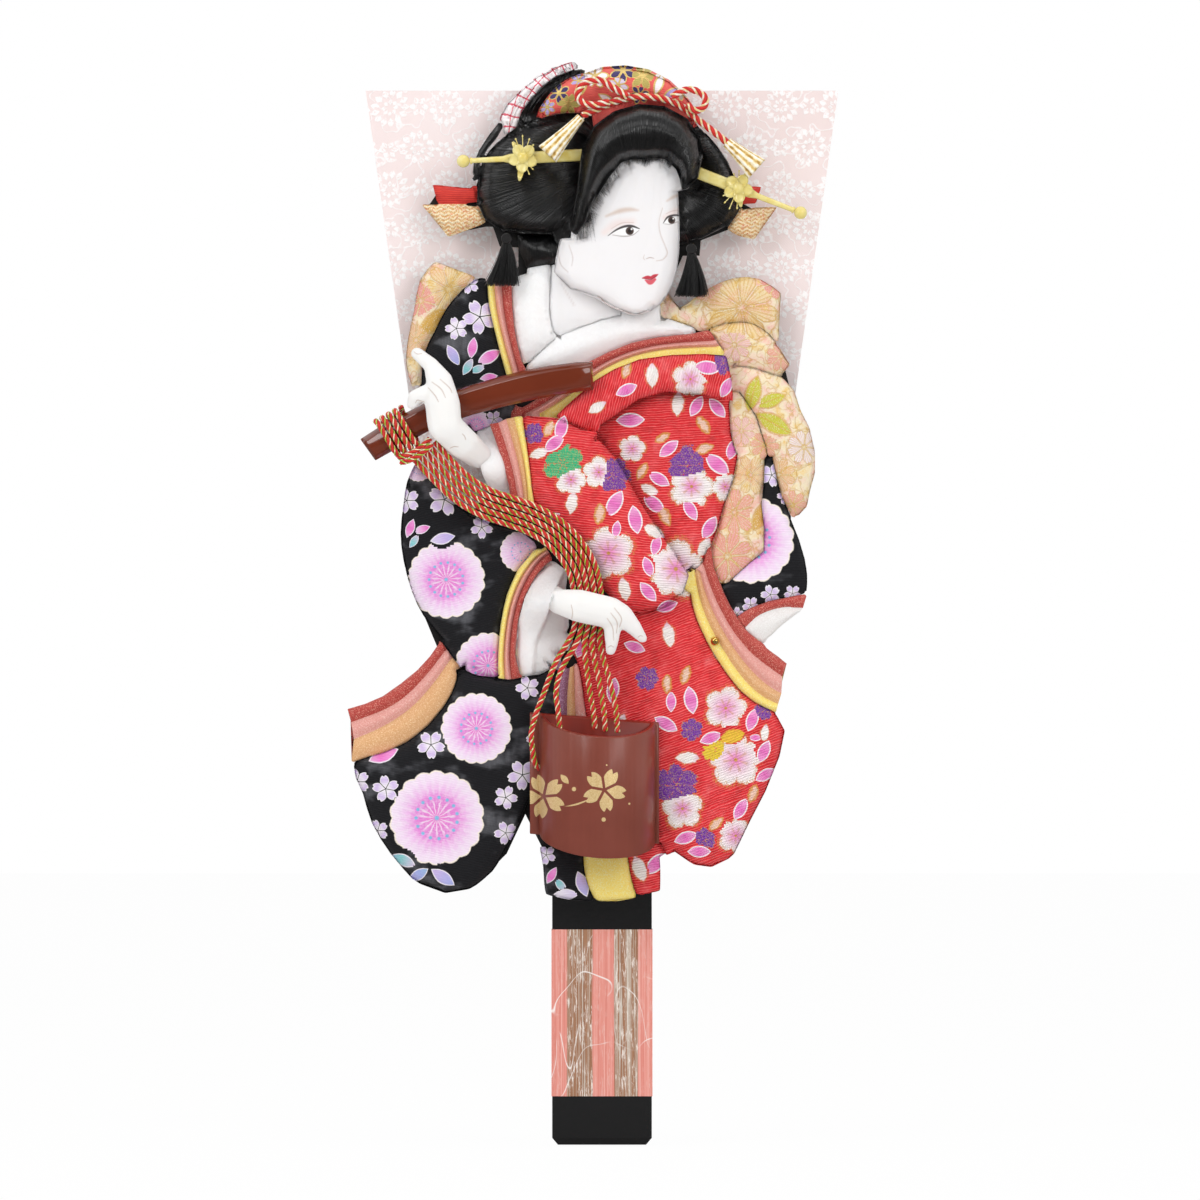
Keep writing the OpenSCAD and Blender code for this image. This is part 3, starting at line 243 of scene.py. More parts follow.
material, tree, at = begin("paulownia")
rings = grain(at.stretch((1, 1, 0.05)), 5.0, 3.0)
lines = (rings * 60).sum("SINE") * 0.5 + 0.5
fibre = grain(at.stretch((6, 6, 0.15)), 1.5)
tone = lines * 0.55 + fibre * 0.45
end(material, tone.ramp((0.2, "d9bd94"), (0.8, "ecd8b6")), tone * 0.15 + 0.5, fibre, 0.0001)
dress("board", material)
dress("cleat", material)

material, tree, at = begin("dark_card")
flecks = grain(at, 0.5, 4.0)
# Near black: painted shade where the card shows in the gaps between pads.
colour = flecks.ramp((0.3, "151414"), (0.8, "222020"))
for x, height, wide, high, scrap in ((2, 353, 26, 13, "f3f1ef"), (18, 285, 28, 46, "b3121c")):
    covered = abs(at.part("X") - x).under(wide, 0.5) * abs(at.part("Z") - height).under(high, 0.5)
    colour = covered.mix(colour, scrap)
end(material, colour, 0.85, flecks, 0.0001)
dress("figure_card", material)

# Damask on the blade
# Pale pink silk glued over the front of the blade, with flower rounds and fine scrolls woven into it
# in white. The rounds stand in rows, every second row shifted by half a repeat.
REPEAT_X, REPEAT_Z = 24.0, 35.0
ROUND_AT = (-91.0, 448.0)
# Rings of a round: petals, inner and outer radius in millimetres.
BIG_ROUND, SMALL_ROUND = ((13.0, 3.7, 7.8), (8.0, 1.0, 3.4)), ((6.0, 0.6, 4.2),)


def effect(name, takes, gives, make):
    """A shader effect that finishes share, with named numbers going in and coming out."""
    tree = bpy.data.node_groups.new(name, "ShaderNodeTree")
    for label, value in takes.items():
        kind = "NodeSocketVector" if isinstance(value, tuple) else "NodeSocketFloat"
        tree.interface.new_socket(label, in_out="INPUT", socket_type=kind).default_value = value
    for label in gives:
        tree.interface.new_socket(label, in_out="OUTPUT", socket_type="NodeSocketFloat")
    source = tree.nodes.new("NodeGroupInput")
    sink = tree.nodes.new("NodeGroupOutput")
    results = make(*(Lead(tree, source.outputs[label]) for label in takes))
    for label, lead in zip(gives, results):
        tree.links.new(lead.socket, sink.inputs[label])
    return tree


def use(tree, group, **values):
    """Places a shared effect in a finish and gives back what comes out of it."""
    node = tree.nodes.new("ShaderNodeGroup")
    node.node_tree = group
    for label, value in values.items():
        plug(tree, value, node.inputs[label])
    return [Lead(tree, socket) for socket in node.outputs]


def ring_of_petals(x, z, petals, near, far):
    """Petals standing side by side between two circles."""
    out = ((x * x + z * z).sum("SQRT") - near) / (far - near)
    turn = (z.sum("ARCTAN2", x) * (petals / 2)).sum("SINE")
    wide = (1 - (out - 0.55) * (out - 0.55) * 4).most(0.0)
    return [(wide - abs(turn) * 0.9).over(0.12, 0.1)]


petal_ring = effect("Ring of petals", {"X": 0.0, "Z": 0.0, "Petals": 8.0, "Near": 1.0, "Far": 4.0},
                    ["Thread"], ring_of_petals)


def threads(at, across, along):
    """Fine over-and-under weave: the height of the threads."""
    weft = (at.part("X") * 6.28 / across).sum("SINE")
    warp = (at.part("Z") * 6.28 / along).sum("SINE")
    return [weft * warp * 0.5 + 0.5]


weave = effect("Weave", {"Place": (0.0, 0.0, 0.0), "Across": 0.5, "Along": 0.5}, ["Height"], threads)

material, tree, at = begin("pink_damask")
drift = (grain(at, 30.0, 1.0) - 0.5) * 7
pattern = None
for across, up, circles in (
    (0.0, 0.0, BIG_ROUND), (0.5, 0.5, BIG_ROUND), (0.5, 0.0, SMALL_ROUND), (0.0, 0.5, SMALL_ROUND),
):
    x = (at.part("X") + drift - (ROUND_AT[0] + across * REPEAT_X)).sum("WRAP", REPEAT_X / 2, -REPEAT_X / 2)
    z = (at.part("Z") + drift - (ROUND_AT[1] + up * REPEAT_Z)).sum("WRAP", REPEAT_Z / 2, -REPEAT_Z / 2)
    for petals, near, far in circles:
        ring = use(tree, petal_ring, X=x, Z=z, Petals=petals, Near=near, Far=far)[0]
        pattern = ring if pattern is None else pattern.most(ring)
scroll = abs(grain(at, 8.0, 1.0) - 0.5).under(0.016, 0.012) * 0.8
worn = grain(at, 1.0, 3.0)
pattern = pattern.most(scroll) * worn.over(0.4, 0.12)
ground = use(tree, weave, Place=at, Across=0.7, Along=0.7)[0]
shade = grain(at, 60.0, 1.0).ramp((0.3, "f0dfdd"), (0.7, "f5e7e6"))
colour = pattern.mix(shade, "fefbfb")
colour = (ground * 0.06).mix(colour, "d9c2bf")
end(material, colour, 0.6 - pattern * 0.22, pattern * 0.6 + ground * 0.4, 0.0002,
    Sheen_Weight=0.15, Specular_IOR_Level=0.35)


@contextmanager
def opened(mesh, *sources):
    """A mesh opened for cutting and joining, filled from itself or from other meshes, and closed again."""
    bm = bmesh.new()
    for source in sources or (mesh,):
        bm.from_mesh(source)
    yield bm
    bm.to_mesh(mesh)
    bm.free()


def merged_copy(node, name):
    """A CAD node's shape as one closed skin."""
    mesh = bpy.data.meshes.new(name)
    with opened(mesh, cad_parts[node].data) as bm:
        bmesh.ops.remove_doubles(bm, verts=bm.verts, dist=1e-6)
    return mesh


cloth = merged_copy("blade_cloth", "blade_damask")
with opened(cloth) as bm:
    bmesh.ops.delete(bm, geom=[f for f in bm.faces if f.normal.y > 0.5], context="FACES")
    cut_area = sum(f.calc_area() for f in bm.faces if f.normal.y < -0.5)
cloth.materials.clear()
cloth.materials.append(material)
piece = link("blade_damask", cloth)
low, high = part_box("blade_cloth")
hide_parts("blade_cloth")
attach(piece, "board_and_figure")

# Handle
# The handle is sleeved in black lacquer with a bevelled end, and a band of salmon paper with brown
# stripes and long white fibres is pasted round its middle.
BROWN_STRIPES = ((-15.0, -4.3), (5.2, 15.5))

material, tree, at = begin("black_lacquer")
scuffs = grain(at.stretch((1, 1, 0.25)), 0.6, 6.0, 0.7).over(0.72, 0.03)
dust = grain(at, 2.5, 4.0)
colour = (scuffs * 0.35).mix("121213", "77777a")
end(material, colour, dust * 0.08 + scuffs * 0.2 + 0.06, dust, 0.00002, Coat_Weight=0.6, Coat_Roughness=0.04)
dress("handle_wrap", material)

material, tree, at = begin("striped_paper")
wobble = (grain(at.stretch((1, 1, 0.02)), 1.4, 2.0) - 0.5) * 1.6
x = at.part("X") + wobble
left, right = (x.over(low, 0.25) * x.under(high, 0.25) for low, high in BROWN_STRIPES)
brown = left + right
fine = grain(at.stretch((1, 1, 0.006)), 0.7, 2.0, 0.6)
salmon = fine.ramp((0.34, "dd8376"), (0.5, "e89689"), (0.66, "f0b2a7"))
broad = grain(at.stretch((1, 1, 0.006)), 2.0, 1.0)
bark = broad.ramp((0.36, "a97b5c"), (0.42, "9a6b4c"), (0.45, "d6cec2"), (0.48, "a07152"), (0.55, "a97b5c"),
                  (0.58, "d9d2c6"), (0.61, "a07152"))
colour = brown.mix(salmon, bark)
flakes = grain(at.stretch((1, 1, 0.1)), 0.55, 4.0, 0.7).over(0.57, 0.04)
flakes = flakes * grain(at.stretch((1, 1, 0.2)), 3.0).over(0.42, 0.1)
colour = (flakes * (brown * 0.65 + 0.2)).mix(colour, "f5ece4")
fibres = abs(grain(at, 24.0, 1.0, 0.3) - 0.5).under(0.0035, 0.003)
fibres = fibres + abs(grain(at.stretch((1, 1, 0.3)), 16.0, 1.0) - 0.46).under(0.003, 0.003)
fibres = fibres.capped() * grain(at, 22.0).over(0.54, 0.05)
colour = (fibres * 0.85).mix(colour, "fffaf6")
end(material, colour, 0.7, fibres * 0.5 + fine * 0.5, 0.0001)
dress("handle_band", material)

# Gold bow and sash
# Brocade wrapped over cotton wadding on card: bow loops, the bow's tail and the sash.
# Peach-gold twill with woven flowers in pink and gold and lime leaves, glued to the big card.
KIKU, SAKURA, LEAF, BLOSSOM, PETAL, PALE_PETAL, BLOT, GOLD_PETAL, WOVEN, WOVEN_LEAF = range(1, 11)


def points_of(mesh, what="vertices", field="co"):
    items = getattr(mesh, what)
    flat = np.empty(len(items) * 3)
    items.foreach_get(field, flat)
    return flat.reshape(-1, 3)


def facing_of(mesh):
    return points_of(mesh, "vertex_normals", "vector")


def edges_of(mesh):
    """The two ends of every edge."""
    ends = np.empty(len(mesh.edges) * 2, int)
    mesh.edges.foreach_get("vertices", ends)
    return ends.reshape(-1, 2).T


def move_to(mesh, spots):
    mesh.vertices.foreach_set("co", spots.ravel())
    mesh.update()


def front_tree(spots, picked):
    """The picked points as they are seen from the front, for finding the nearest."""
    tree = KDTree(len(picked))
    for k in picked:
        tree.insert((spots[k, 0], 0, spots[k, 2]), int(k))
    tree.balance()
    return tree


def settle(piece):
    """Makes the modifiers' result the piece's own plain mesh."""
    shaped = piece.evaluated_get(bpy.context.evaluated_depsgraph_get())
    mesh = bpy.data.meshes.new_from_object(shaped)
    piece.modifiers.clear()
    piece.data = mesh
    mesh.name = piece.name
    mesh.shade_smooth()


def evened(node, cell, suffix="_cloth"):
    """A copy of a CAD node skinned with even, small faces."""
    piece = link(node + suffix, merged_copy(node, node + suffix))
    skin = piece.modifiers.new("even", "REMESH")
    skin.mode, skin.voxel_size = "VOXEL", cell
    settle(piece)
    piece.data.materials.clear()
    return piece


def from_edge(spots, normals, picked):
    """How far in from the pad's edge each picked point lies, seen from the front."""
    tree = front_tree(spots, np.flatnonzero(abs(normals[:, 1]) < 0.5))
    return np.array([tree.find((spots[k, 0], 0, spots[k, 2]))[2] for k in picked])


def relax(piece, rounds, rim, limit=-0.35):
    """Smooths the front in depth only, so the outline stays, and rounds the rim over that width."""
    mesh = piece.data
    spots = points_of(mesh)
    normals = facing_of(mesh)
    a, b = edges_of(mesh)
    front = np.flatnonzero(normals[:, 1] < limit)
    count = np.bincount(a, minlength=len(spots)) + np.bincount(b, minlength=len(spots))
    depth = -spots[:, 1].copy()
    for _ in range(rounds):
        around = np.bincount(a, depth[b], len(spots)) + np.bincount(b, depth[a], len(spots))
        depth[front] += 0.6 * (around / count - depth)[front]
    if rim:
        inside = np.minimum(from_edge(spots, normals, front) / rim, 1)
        drop = 1 - np.sqrt(1 - (1 - inside) ** 2)
        depth[front] -= np.minimum(rim, 0.5 * (depth[front] - depth.min())) * drop
    spots[:, 1] = -depth
    move_to(mesh, spots)


def pucker(piece, height, wide, seed):
    """Slack in the cloth: low soft waves over the front."""
    mesh = piece.data
    spots = points_of(mesh)
    normals = facing_of(mesh)
    for k, (spot, normal) in enumerate(zip(spots, normals)):
        if normal[1] < -0.2:
            at = Vector(spot) / wide + Vector((seed, seed * 2, -seed))
            spots[k, 1] -= height * (noise.noise(at) + 0.5 * noise.noise(at * 2.3)) * -normal[1]
    move_to(mesh, spots)


SOFT = ("bow_left bow_right_top bow_right_mid bow_tail sash back_sleeve back_cuff hem_right hem_left "
        "black_skirt red_skirt panel_red panel_gold panel_black inner_layers black_shoulder "
        "collar_left collar_white_left collar_white_right collar_right neck face hair_front "
        "hair_wing hair_topknot hair_right hair_nape red_cloth dotted_cloth side_left side_right "
        "red_flap red_bodice red_sleeve wrist_bands wrist_lining black_sleeve cuff_bands cuff_lining").split()
SEAM, TUCK, REACH, FOLLOWS = 0.00006, 0.0034, 0.0045, 0.006
LAYER, CLEAR, NEARBY = 0.002, 0.0004, 0.01
TO_FRONT, TO_BACK = Vector((0, -1, 0)), Vector((0, 1, 0))
solids = {}


def skin_over(mesh):
    """A mesh's surface for ray tests."""
    return BVHTree.FromPolygons(points_of(mesh).tolist(), [tuple(p.vertices) for p in mesh.polygons])


def solid(node):
    """A CAD node's surface for ray tests, with the depth of its back."""
    if node not in solids:
        solids[node] = skin_over(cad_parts[node].data), -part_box(node)[1][1]
    return solids[node]


def near_solids(node):
    low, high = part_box(node)
    for other in SOFT:
        o_low, o_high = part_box(other)
        if other != node and all(o_low[k] < high[k] + NEARBY and o_high[k] > low[k] - NEARBY for k in (0, 2)):
            yield solid(other)


def close_up(piece, node, fuller=0.0):
    """Pushes a pad's edge home against its neighbours, and tucks it under a piece that lies over it."""
    mesh = piece.data
    spots = points_of(mesh)
    normals = facing_of(mesh)
    level = solid(node)[1]
    walls = np.flatnonzero(abs(normals[:, 1]) < 0.6)
    room = np.zeros(len(spots))
    others = [o for o in near_solids(node) if o[1] > level - LAYER]
    ways = normals * (1, 0, 1)
    ways /= np.linalg.norm(ways, axis=1)[:, None] + 1e-9
    for k in walls:
        x, _, z = spots[k]
        way, most = Vector(ways[k]), 1.0
        if solid(node)[0].ray_cast(Vector((x, -level - 0.0005, z)) + way * 0.0008, way, 2 * REACH)[0]:
            continue
        for skin, back in others:
            over = back > level + LAYER
            start = Vector((x, -back - LAYER, z))
            if over and skin.ray_cast(Vector((x, -level, z)), TO_FRONT)[0]:
                continue
            gap = skin.ray_cast(start - way * CLEAR, way, 2 * REACH)[3]
            if gap is not None:
                gap -= CLEAR
                most = min(most, gap + TUCK if over else gap / 2 - SEAM)
        room[k] = max(0.0, most) if most < 1.0 else fuller
    a, b = edges_of(mesh)
    wall = np.zeros(len(spots))
    wall[walls] = 1
    move = room.copy()
    for _ in range(6):
        total = np.bincount(a, move[b] * wall[b], len(spots)) + np.bincount(b, move[a] * wall[a], len(spots))
        count = np.bincount(a, wall[b], len(spots)) + np.bincount(b, wall[a], len(spots)) + 1e-9
        move = np.minimum(room, 0.5 * move + 0.5 * total / count)
    tree = front_tree(spots, walls)
    shift = ways * move[:, None]
    for k in np.flatnonzero(wall == 0):
        _, edge, away = tree.find((spots[k, 0], 0, spots[k, 2]))
        shift[k] = shift[edge] * max(0.0, 1 - away / FOLLOWS) ** 2
    move_to(mesh, spots + shift)


def keep_under(piece, node, fall=0.0):
    """Holds a pad clear of the pieces that lie over it, rounded down to them over that width."""
    mesh = piece.data
    spots = points_of(mesh)
    level = solid(node)[1]
    held = []
    for skin, back in near_solids(node):
        if back > level + LAYER:
            for k in np.flatnonzero(-spots[:, 1] > back - CLEAR):
                x, _, z = spots[k]
                if skin.ray_cast(Vector((x, -level, z)), TO_FRONT)[0]:
                    spots[k, 1] = -(back - CLEAR)
                    held.append(k)
    if fall:
        tree = front_tree(spots, held)
        for spot in spots:
            _, edge, away = tree.find((spot[0], 0, spot[2]))
            spot[1] = max(spot[1], spots[edge, 1] - 0.6 * fall * (1 - max(0.0, 1 - away / fall) ** 2))
    move_to(mesh, spots)


def wadded(node, cell, rounds, rim, slack=0.0, wide=0.02, seed=0.0, suffix="_cloth", fuller=0.0):
    """Cloth over wadding in the place of a CAD pad: pushed home, rounded and a little slack."""
    piece = evened(node, cell, suffix)
    close_up(piece, node, fuller)
    relax(piece, rounds, rim)
    pucker(piece, slack, wide, seed)
    keep_under(piece, node)
    return piece


def print_on(piece, motifs, weft=0.0):
    """Marks each face with the motif that it belongs to, and each point with its place along the weft."""
    mesh = piece.data
    centre = points_of(mesh, "polygons", "center") * 1000
    at = np.tile((1e4, 1e4, 1.0), (len(centre), 1))
    look = np.zeros((len(centre), 3))
    best = np.full(len(centre), 1.25)
    for kind, x, z, size, turn, shade in motifs:
        share = np.hypot(centre[:, 0] - x, centre[:, 2] - z) / size
        mine = share < best
        best[mine] = share[mine]
        at[mine] = x, z, size
        look[mine] = kind, math.radians(turn), shade
    for label, values in (("motif_at", at), ("motif_look", look)):
        mesh.attributes.new(label, "FLOAT_VECTOR", "FACE").data.foreach_set("vector", values.ravel())
    spots = points_of(mesh) * 1000
    c, s = math.cos(math.radians(weft)), math.sin(math.radians(weft))
    along = np.stack((spots[:, 0] * c + spots[:, 2] * s, spots[:, 1], spots[:, 2] * c - spots[:, 0] * s), 1)
    mesh.attributes.new("weft_at", "FLOAT_VECTOR", "POINT").data.foreach_set("vector", along.ravel())


def stand_for(piece, material, slot, *nodes, body="board_and_figure", fill=None):
    """Finishes a piece and puts it in the place of its CAD nodes."""
    if material is not None:
        piece.data.materials.clear()
        piece.data.materials.append(material)
    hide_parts(*nodes)
    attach(piece, body)
    return piece


def attribute(tree, name):
    return step(tree, "Attribute", out=1, attribute_name=name)


def own_frame(at, motif, turn):
    """Where a face lies in its own motif: across, up, out from the middle, and round it."""
    x = (at.part("X") - motif.part("X")) / motif.part("Z")
    z = (at.part("Z") - motif.part("Y")) / motif.part("Z")
    c, s = turn.sum("COSINE"), turn.sum("SINE")
    u, v = x * c + z * s, z * c - x * s
    return [u, v, (u * u + v * v).sum("SQRT"), v.sum("ARCTAN2", u)]


motif_frame = effect("Motif frame", {"Place": (0.0, 0.0, 0.0), "Motif": (0.0, 0.0, 1.0), "Turn": 0.0},
                     ["Across", "Up", "Out", "Round"], own_frame)


def petals_round(out, angle, petals, wide, notch):
    """Notched petals round a middle: how far inside a petal's edge, and how far along the petal."""
    share = petals.sum("POWER", -1.0) * (2 * math.pi)
    local = (angle + 20 * math.pi).sum("FLOORED_MODULO", share) - share * 0.5
    along, aside = out * local.sum("COSINE"), abs(out * local.sum("SINE"))
    tip = (1 - aside / 0.12).most(0.0) * notch
    reach = (along + tip - 0.54) / 0.44
    beside = out * (share * 0.5 - abs(local)).sum("SINE")
    inside = 1 - (reach * reach + (aside / wide) * (aside / wide)).sum("SQRT")
    return [inside.sum("MINIMUM", (beside - 0.02) * 4), along]


flower = effect("Flower", {"Out": 0.0, "Round": 0.0, "Petals": 5.0, "Wide": 0.33, "Notch": 0.2},
                ["Inside", "Along"], petals_round)


def glints(at, fine):
    """Metal thread with glints painted pale at fixed spots: fine is how many glints lie in a millimetre."""
    values = {"Vector": at, "Scale": fine, "Detail": 2.0, "Roughness": 0.7}
    painted_glint = step(at.tree, "TexNoise", values)
    return [painted_glint.over(0.6, 0.05), painted_glint]


painted_glitter = effect("Glitter", {"Place": (0.0, 0.0, 0.0), "Fine": 2.0}, ["Glint", "Tone"], glints)


def start_print(name):
    material, tree, at = begin(name)
    look = attribute(tree, "motif_look")
    kind = look.part("X")
    across, up, out, angle = use(
        tree, motif_frame, Place=at, Motif=attribute(tree, "motif_at"), Turn=look.part("Y"))
    ragged = grain(at, 1.6, 2.0) - 0.5

    def only(number):
        return kind.sum("COMPARE", float(number), 0.3)

    return material, tree, at, only, look.part("Z"), across, up, out, angle, ragged


# Each motif of a print: its kind, x, height and size in millimetres, its turn and its shade.
WOVEN_FLOWERS = (
    (WOVEN, 60, 361, 17, 10, 0.1), (WOVEN, 57, 345, 8, 30, 0.9), (WOVEN, 77, 340, 7, 0, 0.6),
    (WOVEN_LEAF, 65, 324, 8, 75, 0.9), (WOVEN_LEAF, 72.5, 321, 7, 20, 1.0),
    (WOVEN_LEAF, 74, 311, 9, -30, 0.9),
    (WOVEN, 87, 301, 8, 40, 1.0), (WOVEN, 70, 302, 7, 15, 0.5), (WOVEN, 76, 289, 8, 0, 0.4),
    (WOVEN, 82, 276, 7, 25, 0.5), (WOVEN, 91, 322, 7, 0, 0.3), (WOVEN, 57, 273, 11, 20, 0.6),
    (WOVEN, 54, 254, 12, 50, 0.7), (WOVEN, 64, 289, 9, 0, 0.2), (WOVEN, 60, 308, 7, 0, 0.9),
    (WOVEN_LEAF, 69, 272, 8, 60, 0.2), (WOVEN, -66, 369, 12, 15, 0.1), (WOVEN, -78, 364, 9, 30, 0.8),
    (WOVEN, -80, 347, 9, 0, 0.4), (WOVEN, -72, 340, 6, 10, 0.7), (WOVEN_LEAF, -72, 355, 9, 40, 0.2),
    (WOVEN, 45, 372, 9, 0, 0.5), (WOVEN, 75, 372, 8, 20, 0.8),
)

material, tree, at, only, shade, across, up, out, angle, ragged = start_print("gold_brocade")
thread = ((at.part("X") * 0.3 + at.part("Z")) * (6.28 / 0.62)).sum("SINE") * 0.5 + 0.5
rib = use(tree, weave, Place=at, Across=0.5, Along=0.62)[0]
painted_glint, tone = use(tree, painted_glitter, Place=at, Fine=2.0)
ground = grain(at, 6.0, 3.0).ramp((0.32, "f8d485"), (0.44, "fff0cd"), (0.56, "ffdfca"), (0.66, "fdc2b0"),
                                  (0.74, "fad688"))
inside, along = use(tree, flower, Out=out, Round=angle, Petals=8.0, Wide=0.24, Notch=0.08)
bloom = shade.ramp((0.0, "efc468"), (0.3, "f2cd86"), (0.5, "f7b4a6"), (0.8, "f69fa3"), (1.0, "fdeef2"))
petal = inside.over(0.03, 0.05) * only(WOVEN)
veins = (angle * 40).sum("SINE").over(0.4, 0.4) * petal * 0.75
rim = abs(inside - 0.04).under(0.06, 0.04) + abs(out - 0.13).under(0.03, 0.02)
rim = (rim + abs(out - 0.97).under(0.025, 0.02) * 0.7).capped() * only(WOVEN)
blade = (1 - across * across) * 0.42 - abs(up)
leaf = blade.over(0.03, 0.03) * only(WOVEN_LEAF)
leaf_rim = abs(blade).under(0.05, 0.03) + abs(up).under(0.03, 0.02) * leaf
leaf_rim = leaf_rim.capped() * only(WOVEN_LEAF)
scroll = abs(grain(at, 4.5, 1.0) - 0.5).under(0.02, 0.014) * (1 - petal) * (1 - leaf) * 0.8
colour = (petal * (shade.over(0.4, 0.05) * 0.5 + 0.45)).mix(ground, bloom)
colour = leaf.mix(colour, shade.ramp((0.2, "e2b04c"), (0.8, "d3d234")))
outline = (rim + leaf_rim + scroll + veins).capped()
colour = (outline * (tone * 0.8 + 0.3)).mix(colour, "e3b24c")
# Painted glints: the metal thread's flecks painted near white at fixed spots; they are also smoother and a
# little metallic.
colour = (painted_glint * 0.8).mix(colour, "fff8de")
colour = (thread * 0.06 + (1 - tone) * 0.06).mix(colour, "c48f48")
raised = (petal + leaf + outline).capped()
end(material, colour, 0.48 - painted_glint * 0.2, raised * 0.45 + thread * 0.3 + rib * 0.25, 0.00035,
    Metallic=(outline * 0.25 + painted_glint * 0.2).sum("MINIMUM", 0.4), Sheen_Weight=0.2)
brocade = material

for seed, node in enumerate(("bow_left", "bow_right_top", "bow_right_mid", "bow_tail", "sash")):
    piece = wadded(node, cell=0.0008, rounds=40, rim=0.002, slack=0.0005, wide=0.011, seed=seed + 1.0)
    print_on(piece, WOVEN_FLOWERS)
    stand_for(piece, brocade, "gold_brocade", node, fill=0.7)

# Black crepe robe
# The outer robe: black crepe printed with chrysanthemum rounds, small cherry flowers and leaves.
# Each part is crepe drawn tight over wadded card and glued behind.
BLACK_PRINT = [(KIKU, *spot) for spot in (
    (-67, 244, 17, 0, 0), (-49, 207, 14.5, 30, 0), (-54, 180, 15.5, 10, 0), (-71, 141.5, 20.7, 0, 0),
    (64, 261, 19, 20, 0), (-35, 256, 9, 0, 0.7), (-79, 292, 6, 0, 0.9), (-54, 310, 7, 0, 0.2))]
BLACK_PRINT += [(SAKURA, *spot) for spot in (
    (-52.5, 357, 8, 10, 0.5), (-62.6, 352, 5.3, 0, 0.0), (-73.5, 173, 6.5, 20, 0.4),
    (-93, 154, 6.2, -10, 0.4), (-41.4, 150.3, 5.5, 30, 0.2), (-41.4, 135, 5.4, 5, 0.4),
    (-34.2, 160, 7, 15, 0.5), (-32, 197.4, 5.6, 0, 0.3), (-67.7, 278.4, 7.6, 40, 0.6),
    (-51.7, 266.4, 5.2, 20, 0.5), (-84, 278, 6, 0, 0.4), (-96.5, 136, 5, 0, 0.3),
    (-24, 125.5, 4.5, 10, 0.5), (73, 289, 5.5, 30, 0.6), (72.5, 237.5, 4.6, 0, 0.8), (64, 233, 4, 20, 0.6),
    (58, 229, 3.5, 50, 0.6), (82, 238, 4, 15, 0.4), (-57, 371, 4.5, 0, 0.6), (-46.5, 313, 4, 25, 0.6),
    (-90, 218, 5, 0, 0.3), (-76, 212, 5, 30, 0.4), (-105.5, 157, 6, 0, 0.1), (-28, 176, 5, 10, 0.3),
    (79, 280, 4, 0, 0.5), (-88, 246, 5, 15, 0.4))]
BLACK_PRINT += [(LEAF, *spot) for spot in (
    (-64, 340.5, 5.2, -60, 0.3), (-55.7, 343.6, 4.8, 80, 0.95), (-48.6, 339.7, 6, 30, 0.9),
    (-57.7, 335.5, 4.2, 60, 0.65), (-53.5, 334.5, 3.8, 20, 0.65), (-48.7, 331, 4, 10, 0.9),
    (-82.5, 266, 4.4, 70, 0.92), (-77.5, 265.5, 4, 20, 0.85), (-80.8, 260.5, 3.5, 55, 0.65),
    (-68.5, 261.6, 5.6, 12, 0.2), (-85.2, 123.2, 5.8, -25, 0.65), (-79, 117, 5.2, 32, 0.4),
    (-68.4, 116, 6.2, -35, 0.3), (-94, 168.5, 7, 22, 0.95), (-23.9, 200.5, 4.2, 10, 0.45),
    (-42, 199, 3.2, 0, 0.2), (-21.7, 116.7, 4.2, 60, 0.95), (-17.8, 112.5, 4, -50, 0.65),
    (-8.5, 113, 6, -70, 0.25), (-15.5, 108.5, 5.5, 0, 0.05))]

material, tree, at, only, shade, across, up, out, angle, ragged = start_print("black_crepe")


def ripples(at, apart):
    """Crepe's crinkled surface: short wavering ridges that run along the weft."""
    bend = grain(at.stretch((0.25, 0.25, 0.6)), 1.6, 2.0) * 9
    ridge = ((at.part("Z") * 6.28 / apart) + bend).sum("SINE") * 0.5 + 0.5
    broken = grain(at.stretch((0.45, 1, 1)), 0.9, 2.0)
    return [ridge * 0.65 + broken * 0.35]


crepe = effect("Crepe ripples", {"Place": (0.0, 0.0, 0.0), "Apart": 1.0}, ["Height"], ripples)

ridge = use(tree, crepe, Place=attribute(tree, "weft_at"), Apart=0.7)[0]
fluff = grain(at, 0.35, 3.0, 0.6)
# Grey haze in streaks over the black: a painted sheen.
painted_sheen = grain(at.stretch((0.5, 1, 1)), 11.0, 3.0, 0.55).over(0.6, 0.09)
painted_sheen = painted_sheen * grain(at.stretch((1, 1, 0.3)), 2.5, 3.0)
# Lighter on the ripple crests and darker in their hollows: painted light and shade, mixed with the fibres'
# own tone.
colour = (fluff * 0.5 + ridge * 0.5).ramp((0.25, "0d0d0f"), (0.75, "232427"))
colour = (painted_sheen * 0.55).mix(colour, "9a9ba2")

scallop = abs((angle * 9).sum("SINE")) * 0.055 + 0.935 + ragged * 0.035
disc = scallop - out
round_mask = disc.over(0.0, 0.012) * only(KIKU)
kiku = out.ramp((0.0, "e9a3dc"), (0.1, "ee86d6"), (0.3, "ea8cda"), (0.45, "ee8fe0"), (0.62, "f5c3f1"),
                (0.8, "f9e0f9"), (1.0, "fbecfb"))
kiku = (shade * out.under(0.9, 0.3)).mix(kiku, "f3d2f2")
rays = (angle * 15 + ragged * 3).sum("SINE").over(0.62, 0.3) * out.under(0.36, 0.08) * out.over(0.07, 0.02)
kiku = (rays * 0.75).mix(kiku, "fdf0fc")
kiku = (grain(at, 1.3, 3.0).over(0.55, 0.12) * 0.3).mix(kiku, "fcf0fc")
streaks = (angle * 27 + ragged * 4).sum("SINE").over(0.2, 0.7) * out.over(0.5, 0.12) * 0.22
kiku = streaks.mix(kiku, "fffaff")
beat = ((angle / (2 * math.pi) + 3) * 15).sum("FRACT") - 0.5
bead = ((beat * 0.18) * (beat * 0.18) + (out - 0.43) * (out - 0.43)).sum("SQRT").under(0.036, 0.008)
